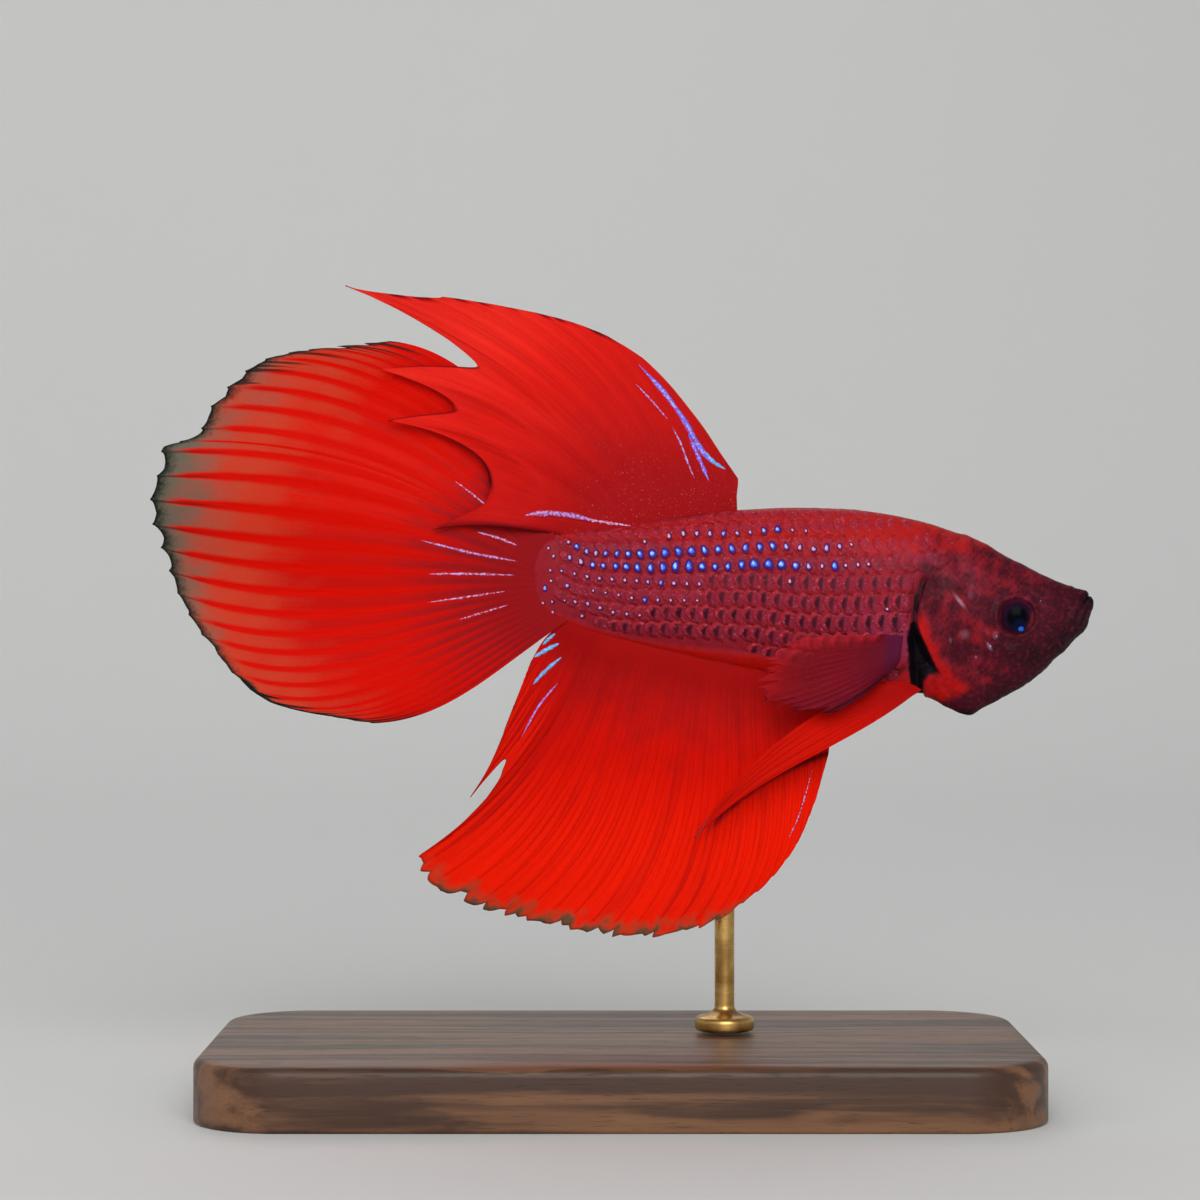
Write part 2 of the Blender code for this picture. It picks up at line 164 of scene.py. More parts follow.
class Line:
    """A smooth line on the fish's side through a few (x, height) points."""

    def __init__(self, points: Sequence[Point], closed: bool = False, steps: int = 10) -> None:
        """Draws the line as short pieces of a Catmull-Rom curve.

        Args:
            points: what the line runs through.
            closed: whether it returns to its start.
            steps: pieces between two points.
        """
        given = np.array(points, float)
        if closed:
            padded = np.vstack([given[-1:], given, given[:2]])
        else:
            padded = np.vstack([2 * given[0] - given[1], given, 2 * given[-1] - given[-2]])
        t = np.linspace(0, 1, steps, endpoint=False)[:, None]
        parts = []
        for a, b, c, d in zip(padded, padded[1:], padded[2:], padded[3:]):
            cubic = 2 * b + (c - a) * t + (2 * a - 5 * b + 4 * c - d) * t**2 + (3 * b - a - 3 * c + d) * t**3
            parts.append(cubic / 2)
        self.places = np.vstack([*parts, padded[-2:-1]])

    def offset(self, x: Array, z: Array) -> tuple[Array, Array]:
        """Measures how far places are from the line.

        Args:
            x: places along the fish.
            z: their heights.

        Returns:
            The distance, positive on the left of the line's direction, and the share of the
            line's pieces at which the nearest point lies, from 0 to 1.
        """
        nearest = np.full(x.shape, 1e9)
        signed, along = np.zeros(x.shape), np.zeros(x.shape)
        starts, ends = self.places[:-1], self.places[1:]
        for number, ((ax, az), (bx, bz)) in enumerate(zip(starts, ends)):
            dx, dz = bx - ax, bz - az
            share = np.clip(((x - ax) * dx + (z - az) * dz) / (dx * dx + dz * dz), 0, 1)
            away = np.hypot(x - ax - share * dx, z - az - share * dz)
            side = np.where(dx * (z - az) - dz * (x - ax) >= 0, 1, -1)
            closer = away < nearest
            nearest = np.where(closer, away, nearest)
            signed = np.where(closer, side * away, signed)
            along = np.where(closer, (number + share) / len(starts), along)
        return signed, along

    def distance(self, x: Array, z: Array) -> Array:
        """How far places are from the line, without a sign."""
        return np.abs(self.offset(x, z)[0])


def ridge(points: Sequence[Point], x: Array, z: Array, width: float) -> Array:
    """A bell of a width across the smooth line through some points."""
    return bump(Line(points).distance(x, z), width)


def seen_from_side(points: Array) -> tuple[Array, Array]:
    """Where points of the fish appear on its side drawing.

    The drawing lies in the middle plane, and an eye at the viewing distance looks square at it,
    so what stands y nearer appears moved out from the centre by 1 / (1 - y / distance).

    Args:
        points: points in an array that ends in an axis of 3.

    Returns:
        Their places along the drawing and their heights on it.
    """
    nearer = 1 - np.abs(points[..., 1]) / VIEW_DISTANCE
    across = VIEW_CENTRE[0] + (points[..., 0] - VIEW_CENTRE[0]) / nearer
    return across, VIEW_CENTRE[1] + (points[..., 2] - VIEW_CENTRE[1]) / nearer


def patch(x: Array, z: Array, centre: Point, radii: Point, tilt: float = 0, soft: float = 0.5) -> Array:
    """An oval spot on the fish's side: 1 inside, fading to 0 over its outer part.

    Args:
        x: places along the fish.
        z: their heights.
        centre: the oval's centre.
        radii: its half sizes.
        tilt: how far it is turned, in degrees.
        soft: the share of the radius over which it fades.

    Returns:
        The spot's strength at each place.
    """
    turn = math.radians(tilt)
    across, up = x - centre[0], z - centre[1]
    a = (across * math.cos(turn) + up * math.sin(turn)) / radii[0]
    b = (up * math.cos(turn) - across * math.sin(turn)) / radii[1]
    return 1 - ramp(1 - soft, 1 + soft, np.hypot(a, b))


def spotted(start: Array, spots: Sequence[Spot], x: Array, z: Array, soft: float) -> Array:
    """Adds oval spots to an ink.

    Args:
        start: the ink's share without them.
        spots: each spot's centre, half sizes, tilt in degrees and strength.
        x: places along the fish.
        z: their heights.
        soft: the share of the radius over which a spot fades.

    Returns:
        The ink's share with them.
    """
    for centre, radii, tilt, strength in spots:
        start = start + strength * patch(x, z, centre, radii, tilt, soft)
    return start


# ---- Meshes ----


def node_box(*nodes: str) -> Array:
    """Measures the box round some nodes of the frame.

    Args:
        *nodes: the nodes' names.

    Returns:
        The lowest and highest corners, in millimetres.
    """
    corners = [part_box(node) for node in nodes]
    lowest = np.min([low for low, _ in corners], axis=0)
    highest = np.max([high for _, high in corners], axis=0)
    return np.array([lowest, highest]) / MILLIMETRE


@dataclass(frozen=True)
class Fitting:
    """Moves and stretches a shape so that its plain form fills a box of the frame."""

    scale: Array
    shift: Array

    @classmethod
    def between(cls, plain: Array, box: Array, margin: Array) -> "Fitting":
        """Finds the fitting that takes a plain form to a box.

        Args:
            plain: points of the plain form.
            box: the box's lowest and highest corners.
            margin: what the solid adds to the plain form on each side, along X, Y and Z.

        Returns:
            The fitting.
        """
        low, high = plain.reshape(-1, 3).min(axis=0), plain.reshape(-1, 3).max(axis=0)
        wanted_low, wanted_high = box[0] + margin, box[1] - margin
        scale = (wanted_high - wanted_low) / (high - low)
        return cls(scale, wanted_low - low * scale)

    def apply(self, points: Array) -> Array:
        """The points, moved and stretched."""
        return points * self.scale + self.shift


def grid_quads(rows: int, columns: int, wraps: bool = False) -> Array:
    """Corner numbers of a grid's faces, where point (row, column) is row * columns + column.

    Args:
        rows: points down the grid.
        columns: points across it.
        wraps: whether the last column joins the first.

    Returns:
        An array of quads.
    """
    across = np.arange(columns if wraps else columns - 1)
    start = np.arange(rows - 1)[:, None] * columns
    here, right = start + across, start + (across + 1) % columns
    return vectors(here, right, right + columns, here + columns).reshape(-1, 4)


def shell_quads(rows: int, columns: int) -> Array:
    """Faces of a thin closed shell: a front grid, a back grid numbered after it, and a rim.

    Args:
        rows: points down each grid.
        columns: points across it.

    Returns:
        An array of quads.
    """
    front = grid_quads(rows, columns)
    count = rows * columns
    number = np.arange(count).reshape(rows, columns)
    rim = np.concatenate([number[0, :-1], number[:-1, -1], number[-1, :0:-1], number[:0:-1, 0]])
    following = np.roll(rim, -1)
    sides = vectors(following, rim, rim + count, following + count)
    return np.vstack([front, front[:, ::-1] + count, sides])


def cap(around: int) -> Array:
    """Triangles that close a ring of points, fanned out from its first."""
    ring = np.arange(around)
    return vectors(0, ring[1:-1], ring[2:])


def end_fans(rings: int, around: int) -> Array:
    """Triangles that close a tube's ends, round two hub points numbered after its rings."""
    ring = np.arange(around)
    following, last, hub = (ring + 1) % around, (rings - 1) * around, rings * around
    return np.vstack([vectors(following, ring, hub), vectors(last + ring, last + following, hub + 1)])


def repeated(faces: Array, copies: int, points_each: int) -> Array:
    """The faces of many like shapes whose points follow one another."""
    starts = np.arange(copies)[:, None, None] * points_each
    return (faces[None] + starts).reshape(-1, faces.shape[1])


def make_piece(
    name: str,
    points: Array,
    quads: Array,
    finish: Material,
    triangles: Array | None = None,
    layers: dict[str, Array] | None = None,
) -> bpy.types.Object:
    """Makes one closed, smooth-shaded piece from arrays, with its faces turned outwards.

    Args:
        name: the piece's name.
        points: its points in millimetres, in an array that ends in an axis of 3.
        quads: its four-cornered faces.
        finish: its material.
        triangles: its three-cornered faces, if any.
        layers: values at the points: two columns make a UV map, three a vector attribute.

    Returns:
        The new object, at the origin.
    """
    points = points.reshape(-1, 3) * MILLIMETRE
    triangles = np.zeros((0, 3), int) if triangles is None else triangles
    corners = [np.vstack([quads[:, [0, 1, 2]], quads[:, [0, 2, 3]], triangles])]
    a, b, c = (points[corners[0][:, i]] for i in range(3))
    if np.einsum("ij,ij->i", a, np.cross(b, c)).sum() < 0:
        quads, triangles = quads[:, ::-1], triangles[:, ::-1]
    loops = np.concatenate([quads.ravel(), triangles.ravel()]).astype(np.int32)
    sizes = np.concatenate([np.full(len(quads), 4), np.full(len(triangles), 3)])
    mesh = bpy.data.meshes.new(name)
    mesh.vertices.add(len(points))
    mesh.vertices.foreach_set("co", points.astype(np.float32).ravel())
    mesh.loops.add(len(loops))
    mesh.loops.foreach_set("vertex_index", loops)
    mesh.polygons.add(len(sizes))
    mesh.polygons.foreach_set("loop_start", (np.cumsum(sizes) - sizes).astype(np.int32))
    mesh.update(calc_edges=True)
    for label, values in (layers or {}).items():
        values = values.reshape(-1, values.shape[-1]).astype(np.float32)
        if values.shape[1] == 2:
            mesh.uv_layers.new(name=label).data.foreach_set("uv", values[loops].ravel())
        else:
            mesh.attributes.new(label, "FLOAT_VECTOR", "POINT").data.foreach_set("vector", values.ravel())
    mesh.shade_smooth()
    mesh.materials.append(finish)
    piece = bpy.data.objects.new(name, mesh)
    bpy.context.scene.collection.objects.link(piece)
    return piece


def place(piece: bpy.types.Object, slot: str, *nodes: str) -> None:
    """Fixes a piece to the part and says which nodes it stands for.

    Args:
        piece: a finished piece.
        slot: the name of the material slot meant for the piece; not used.
        *nodes: the nodes that it replaces, if any.
    """
    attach(piece, "root")
    if nodes:
        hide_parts(*nodes)
    log.info("%s: %d faces for %s", piece.name, len(piece.data.polygons), ", ".join(nodes) or "detail")


# ---- Shader tools ----


def linear_light(colour: Colour) -> tuple[float, float, float, float]:
    """A colour given as it looks on a screen, from 0 to 255, as a shader wants it."""
    shares = [value / 255 for value in colour]
    linear = [v / 12.92 if v <= 0.04045 else ((v + 0.055) / 1.055) ** 2.4 for v in shares]
    return (*linear, 1)


Number = Union["Value", float]


class Value:
    """A number that the shader works out, so that maths on it adds Math nodes."""

    def __init__(self, finish: "Finish", socket: Socket) -> None:
        """Wraps one output socket of a finish."""
        self.finish, self.socket = finish, socket

    def _math(self, operation: str, *operands: Number) -> "Value":
        """Adds one Math node on these operands."""
        node = self.finish.node("Math", {"operation": operation}, dict(enumerate(operands)))
        return Value(self.finish, node.outputs[0])

    def __add__(self, other: Number) -> "Value":
        """self + other."""
        return self._math("ADD", self, other)

    def __sub__(self, other: Number) -> "Value":
        """self - other."""
        return self._math("SUBTRACT", self, other)

    def __rsub__(self, other: float) -> "Value":
        """other - self."""
        return self._math("SUBTRACT", other, self)

    def __mul__(self, other: Number) -> "Value":
        """self * other."""
        return self._math("MULTIPLY", self, other)

    def __truediv__(self, other: Number) -> "Value":
        """self / other."""
        return self._math("DIVIDE", self, other)

    def __pow__(self, other: float) -> "Value":
        """self to a power."""
        return self._math("POWER", self, other)

    __radd__, __rmul__ = __add__, __mul__

    def size(self) -> "Value":
        """The number without its sign."""
        return self._math("ABSOLUTE", self)

    def to_nearest(self) -> "Value":
        """How far the number is from the nearest whole one, from -0.5 to 0.5."""
        return self._math("FRACT", self + 0.5) - 0.5

    def step(self, low: Number, high: Number) -> "Value":
        """0 at low, 1 at high and an S-curve between them."""
        settings = {"interpolation_type": "SMOOTHSTEP"}
        ends = {"Value": self, "From Min": low, "From Max": high, "To Min": 0, "To Max": 1}
        return Value(self.finish, self.finish.node("MapRange", settings, ends).outputs["Result"])


class Finish:
    """A material under construction: a Principled shader and the nodes that feed it."""

    def __init__(self, name: str, **settings: float | Colour) -> None:
        """Starts a material.

        Args:
            name: the material's name.
            **settings: numbers and colours for the shader's own sockets, with _ for a space.
        """
        self.material = bpy.data.materials.new(name)
        self.material.use_nodes = True
        self.tree = self.material.node_tree
        self.shader = self.tree.nodes["Principled BSDF"]
        self.colour: Socket | Colour = (0, 0, 0)
        self._set(**settings)

    def node(
        self,
        kind: str,
        settings: dict[str, object] | None = None,
        inputs: dict[str | int, Number | Socket | Colour] | None = None,
    ) -> bpy.types.Node:
        """Adds one node.

        Args:
            kind: the node's type, without the leading ShaderNode.
            settings: its properties, set before its sockets.
            inputs: what goes into its sockets, by name or number: a value, a link or a number.

        Returns:
            The node.
        """
        made = self.tree.nodes.new("ShaderNode" + kind)
        for label, value in (settings or {}).items():
            setattr(made, label, value)
        for label, value in (inputs or {}).items():
            self.feed(made.inputs[label], value)
        return made

    def feed(self, socket: Socket, value: object) -> None:
        """Links or sets one input socket.

        Args:
            socket: one input.
            value: a value, a link, a colour or a number.
        """
        source = value.socket if isinstance(value, Value) else value
        if isinstance(source, Socket):
            self.tree.links.new(source, socket)
        else:
            socket.default_value = linear_light(source) if isinstance(source, tuple) else source

    def place(self) -> Socket:
        """The point's place on the object, in millimetres."""
        here = self.node("TexCoord").outputs["Object"]
        scaled = {0: here, "Scale": 1 / MILLIMETRE}
        return self.node("VectorMath", {"operation": "SCALE"}, scaled).outputs["Vector"]

    def layer(self, name: str) -> tuple[Value, Value, Value]:
        """The three numbers of a vector attribute."""
        source = self.node("Attribute", {"attribute_name": name}).outputs["Vector"]
        return self.split(source)

    def split(self, vector: Socket) -> tuple[Value, Value, Value]:
        """A vector's three numbers."""
        parts = self.node("SeparateXYZ", inputs={0: vector}).outputs
        return Value(self, parts[0]), Value(self, parts[1]), Value(self, parts[2])

    def joined(self, x: Number, y: Number, z: Number = 0) -> Socket:
        """A vector of three numbers."""
        return self.node("CombineXYZ", inputs={0: x, 1: y, 2: z}).outputs[0]

    def noise(self, vector: Socket, scale: float, detail: float = 2,
              roughness: float = 0.5) -> Value:
        """A cloudy pattern from 0 to 1, with its grains 1 / scale across."""
        inputs = {"Vector": vector, "Scale": scale, "Detail": detail, "Roughness": roughness}
        return Value(self, self.node("TexNoise", inputs=inputs).outputs[0])

    def mix(self, share: Number, first: object, second: object) -> Socket:
        """A colour between two others: the first at share 0 and the second at 1."""
        settings = {"data_type": "RGBA", "clamp_factor": True}
        return self.node("Mix", settings, {0: share, 6: first, 7: second}).outputs[2]

    def relief(self, height: Value, depth: float) -> None:
        """Feeds the shader's Normal from a height pattern.

        Args:
            height: the pattern, from 0 to 1.
            depth: how far 1 stands above 0, in millimetres.
        """
        inputs = {"Height": height, "Distance": depth * MILLIMETRE, "Strength": 1}
        self.feed(self.shader.inputs["Normal"], self.node("Bump", inputs=inputs).outputs[0])

    def coat(self, share: Number, colour: Socket | Colour) -> None:
        """Lays a colour over the finish's own, by its share."""
        self.colour = self.mix(share, self.colour, colour)

    def _set(self, **inputs: object) -> None:
        """Feeds the shader's sockets, named with _ for a space."""
        for label, value in inputs.items():
            self.feed(self.shader.inputs[label.replace("_", " ")], value)

    def finished(self, roughness: Number, alpha: Number = 1) -> Material:
        """Feeds the colour, the roughness and the opacity, and gives the material."""
        self._set(Base_Color=self.colour, Roughness=roughness, Alpha=alpha)
        return self.material


# ---- The body: its plain form, its relief and its markings ----


@dataclass
class BodyForm:
    """The head and trunk under the scales: a row of rounded sections along X.

    At each x the section is z = widest +- reach * |sin a| ** (2 / n) and
    y = half_width * cos a, taken to the same power, with a roundness n of its own above and
    below the widest height.
    """

    back: Sequence[Point] = (
        (-7.3, 43), (-7, 44.1), (-6.2, 45.25), (-5, 45.75), (-2, 45.95), (4, 46.85),
        (9.6, 47.6), (14, 47.8), (18, 47.7), (21, 47.35), (24, 46.75), (27, 45.85),
        (29, 45), (31, 43.85), (33, 42.75), (35, 41.85), (36.6, 41.2), (37.4, 40.95),
        (37.9, 40.6), (38.15, 40.1),
    )
    belly: Sequence[Point] = (
        (-7.3, 41.4), (-7, 40.2), (-6.2, 39.1), (-5, 38.4), (0, 36.9), (6, 35.5),
        (12, 34.3), (18, 33.2), (22, 32.7), (24.6, 32.45), (26.4, 31.5), (28.2, 30.85),
        (29.6, 31.6), (31.5, 32.6), (33, 33.5), (34, 34.3), (35.5, 35.75), (36.6, 36.85),
        (37.5, 37.85), (37.95, 38.9), (38.15, 39.5),
    )
    width: Sequence[Point] = (
        (-7.3, 0.35), (-6.6, 0.75), (-5, 1.2), (-2, 1.65), (3, 2.3), (9, 2.85),
        (15, 3.2), (21, 3.4), (25.5, 3.5), (29, 3.25), (32, 2.75), (34.5, 2.15),
        (36.4, 1.5), (37.5, 0.95), (38, 0.5), (38.15, 0.28),
    )
    widest: Sequence[Point] = (
        (-7.3, 42.2), (0, 41.6), (10, 41), (20, 40.4), (26, 39.4), (32, 38.7),
        (36, 39), (38.15, 39.8),
    )
    keel: Sequence[Point] = (
        (-7.3, 2), (4, 1.8), (18, 2), (24, 1.7), (28.2, 1.35), (33, 1.8), (38.15, 2),
    )
    round_back: float = 2.1
    tail_end: float = -7.3
    snout: float = 38.15

    def section(self, x: Array, angle: Array) -> Array:
        """Points of the body's surface.

        Args:
            x: places along the fish.
            angle: places round the section: 0 on the belly, a quarter turn on the right flank,
                half a turn on the back.

        Returns:
            The points, in an array that ends in an axis of 3.
        """
        x, angle = np.broadcast_arrays(x, angle)
        up, out = -np.cos(angle), np.sin(angle)
        power = 2 / np.where(up > 0, self.round_back, through(self.keel, x))
        middle = through(self.widest, x)
        reach = np.where(up > 0, through(self.back, x) - middle, middle - through(self.belly, x))
        z = middle + reach * np.sign(up) * np.abs(up) ** power
        y = -through(self.width, x) * np.sign(out) * np.abs(out) ** power
        return vectors(x, y, z)

    def _half(self, x: Array, z: Array) -> tuple[Array, Array, Array]:
        """The half section that a place on the side lies in.

        Args:
            x: places along the fish.
            z: their heights.

        Returns:
            Whether it is the upper half, its roundness, and the share of its reach at z.
        """
        middle = through(self.widest, x)
        above = z > middle
        reach = np.where(above, through(self.back, x) - middle, middle - through(self.belly, x))
        roundness = np.where(above, self.round_back, through(self.keel, x))
        return above, roundness, np.clip(np.abs(z - middle) / reach, 0, 1)

    def half_width(self, x: Array, z: Array) -> Array:
        """How far the plain surface stands from the midline at a place on the side."""
        _, n, share = self._half(x, z)
        return through(self.width, x) * (1 - share**n) ** (1 / n)

    def angle_at(self, x: Array, z: Array) -> Array:
        """The right flank's section angle at a place on the side."""
        above, n, share = self._half(x, z)
        return np.arccos(np.where(above, -1, 1) * share ** (n / 2))

    def from_drawing(self, x: Array, z: Array) -> tuple[Array, Array]:
        """Where places on the side drawing lie on the flank, by three rounds of correction.

        Args:
            x: places along the drawing.
            z: their heights on it.

        Returns:
            The places along the fish and their heights.
        """
        across, up = x, z
        for _ in range(3):
            nearer = 1 - self.half_width(across, up) / VIEW_DISTANCE
            across = VIEW_CENTRE[0] + (x - VIEW_CENTRE[0]) * nearer
            up = VIEW_CENTRE[1] + (z - VIEW_CENTRE[1]) * nearer
        return across, up

    def girth(self, x: Array, steps: int = 181) -> tuple[Array, Array]:
        """Lengths along the right flank's sections from the belly up.

        Args:
            x: places along the fish, in a flat array.
            steps: how many angles each section is measured at.

        Returns:
            The angles, and for each place a row of the lengths at them.
        """
        angle = np.linspace(0, math.pi, steps)
        points = self.section(x[:, None], angle[None, :])
        pieces = np.linalg.norm(np.diff(points, axis=1), axis=-1)
        return angle, np.concatenate([np.zeros((len(x), 1)), np.cumsum(pieces, axis=1)], axis=1)

    def normal(self, x: Array, angle: Array) -> Array:
        """Outward directions of the plain surface, from small steps along it.

        Args:
            x: places along the fish.
            angle: places round the section.

        Returns:
            Unit vectors, in an array that ends in an axis of 3.
        """
        step = 0.01
        along = self.section(x + step, angle) - self.section(x - step, angle)
        around = self.section(x, angle + step) - self.section(x, angle - step)
        across = np.cross(along, around)
        return across / np.maximum(np.linalg.norm(across, axis=-1, keepdims=True), 1e-9)


@dataclass
class Relief:
    """How far the skin stands off the plain form: gill cover, socket, mouth and folds.

    Each feature is a step, a bell or a groove across a line or a spot on the fish's side.
    """

    gill_edge: Sequence[Point] = (
        (25, 42.6), (24.6, 41.6), (24.25, 40.3), (23.95, 39.3), (23.95, 38.4), (24.2, 37.4),
        (24.65, 36.4), (25.1, 35.4), (25.55, 34.5), (26.1, 33.9),
    )
    gill_pocket: Sequence[Point] = (
        (23.5, 38.3), (23.15, 37.2), (23.2, 35.7), (23.3, 34.2), (23.6, 32.9), (24.1, 32.2),
        (24.6, 32.2), (24.45, 33.1), (24.6, 33.7), (25, 34.1), (25.55, 34.4), (25.1, 35.4),
        (24.6, 36.5), (24.1, 37.6), (23.85, 38.3),
    )
    throat_edge: Sequence[Point] = (
        (25.9, 34.35), (25.1, 34.1), (24.65, 33.7), (24.45, 33.1), (24.55, 32.4),
    )
    cheek_ridge: Sequence[Point] = (
        (26.6, 41.2), (27.4, 40.2), (27.9, 39.2), (28.35, 38), (28.9, 36.8), (29.9, 35.6),
        (31.2, 34.9),
    )
    lip_line: Sequence[Point] = ((38.3, 40.95), (37.84, 40.5), (37.3, 39.6), (36.85, 38.6), (36.3, 37.6))
    upper_lip: Sequence[Point] = ((37.6, 40.95), (37.05, 40), (36.55, 38.9), (36.1, 38))
    lower_lip: Sequence[Point] = ((38.1, 40.1), (37.6, 39.2), (37.1, 38.2), (36.5, 37.2))
    cheek_groove: Sequence[Point] = (
        (36.3, 37.6), (35.3, 36.7), (34, 35.8), (32.6, 35.1), (31, 34.6), (29.4, 34),
        (27.4, 33.3),
    )
    eye_centre: Point = (32, 38.85)
    eye_radius: float = 1.45
    scale_depth: float = 0.1

    def scaled(self, x: Array, z: Array) -> Array:
        """Where scales cover the body: 1 there and 0 elsewhere.

        Args:
            x: places along the fish.
            z: their heights.

        Returns:
            The share that scales cover.
        """
        lower = through(LOWER_LIMIT, x)
        flank = ramp(-0.25, 0.25, z - lower)
        shoulder = ramp(0.2, -0.2, x - through(SHOULDER, z))
        tail = ramp(-5.9, -4.9, x)
        return flank * shoulder * tail

    def heights(self, x: Array, z: Array) -> Array:
        """The skin's height over the plain form at places on the side, in millimetres.

        Args:
            x: places along the fish.
            z: their heights.

        Returns:
            The heights, in millimetres.
        """
        total = -self.scale_depth * self.scaled(x, z)
        total = total + self._gill(x, z) + self._eye(x, z) + self._mouth(x, z)
        total += 0.06 * ridge(self.cheek_ridge, x - 0.12, z, 0.4)
        total -= 0.035 * ridge(self.cheek_ridge, x + 0.35, z, 0.24)
        total -= 0.04 * ridge(self.cheek_groove, x, z, 0.22)
        head = ramp(23, 25.5, x)
        total += head * (0.035 * waves(x, z, 2.6, 11) + 0.014 * waves(x, z, 0.7, 12, 12))
        total += (1 - head) * (1 - self.scaled(x, z)) * 0.02 * waves(x, z, 3, 13)
        return total

    def _gill(self, x: Array, z: Array) -> Array:
        """The cover's rear edge stands over a dark pocket; the throat's edge lies below it.

        Args:
            x: places along the fish.
            z: their heights.

        Returns:
            The gill cover's part of the height.
        """
        ahead, along = Line(self.gill_edge).offset(x, z)
        fade = ramp(0, 0.15, along) * ramp(0.98, 0.86, along)
        front = ramp(-0.05, 0.09, ahead)
        cover = 0.26 * np.exp(-np.clip(ahead, 0, None) / 1.8)
        behind = 0.32 * np.exp(np.clip(ahead, None, 0) / 0.55)
        gill = fade * (front * cover - (1 - front) * behind)
        throat, reach = Line(self.throat_edge).offset(x, z)
        inner = ramp(-0.05, 0.1, throat)
        close = np.exp(-np.abs(throat) / 1.2) * ramp(0.02, 0.2, reach)
        gill += close * (0.2 * inner - 0.1 * (1 - inner)) * (z < 34.6)
        return gill - 0.85 * ramp(-0.02, 0.7, self.pocket(x, z)) * ramp(32.4, 33.9, z)

    def pocket(self, x: Array, z: Array) -> Array:
        """How deep inside the gill opening's outline a place is; negative outside."""
        return Line(self.gill_pocket, closed=True).offset(x, z)[0]

    def _eye(self, x: Array, z: Array) -> Array:
        """A socket that the eye fills, with a low ring round it.

        Args:
            x: places along the fish.
            z: their heights.

        Returns:
            The socket's part of the height.
        """
        away = np.hypot(x - self.eye_centre[0], z - self.eye_centre[1])
        bowl = -0.34 * (1 - ramp(self.eye_radius - 0.12, self.eye_radius + 0.1, away))
        ring = 0.07 * bump(away - self.eye_radius - 0.24, 0.17)
        outer = -0.05 * bump(away - self.eye_radius - 0.75, 0.25)
        return bowl + ring + outer

    def _mouth(self, x: Array, z: Array) -> Array:
        """A groove between two lips, a nostril and its tube.

        Args:
            x: places along the fish.
            z: their heights.

        Returns:
            The mouth's part of the height.
        """
        fine = np.clip(through(((36, 1), (37.4, 0.8), (38, 0.5), (38.5, 0)), x), 0, 1)
        away, along = Line(self.lip_line).offset(x, z)
        groove = -0.3 * bump(away, 0.11) * ramp(1, 0.86, along)
        lips = 0.1 * ridge(self.upper_lip, x, z, 0.22)
        lips = lips + 0.09 * ridge(self.lower_lip, x, z, 0.22)
        tube = 0.16 * bump(np.hypot(x - 36.35, z - 41.1), 0.22)
        pit = -0.16 * bump(np.hypot(x - 34.3, z - 40.7), 0.17)
        return fine * (groove + lips) + tube + pit


LOWER_LIMIT = (
    (-7.3, 41), (-5.6, 39.4), (-3, 38.3), (-1, 37.6), (2, 36.9), (4, 36.5), (8, 36),
    (11, 35.7), (13, 35.2), (17, 34.2), (20, 33.5), (23, 33), (38, 33),
)
SHOULDER = (
    (30, 23), (37, 22.9), (38.6, 23.2), (40, 23.8), (41.5, 24.4), (42.4, 25.4),
    (43.5, 26.8), (45, 27.6), (48, 27.8),
)


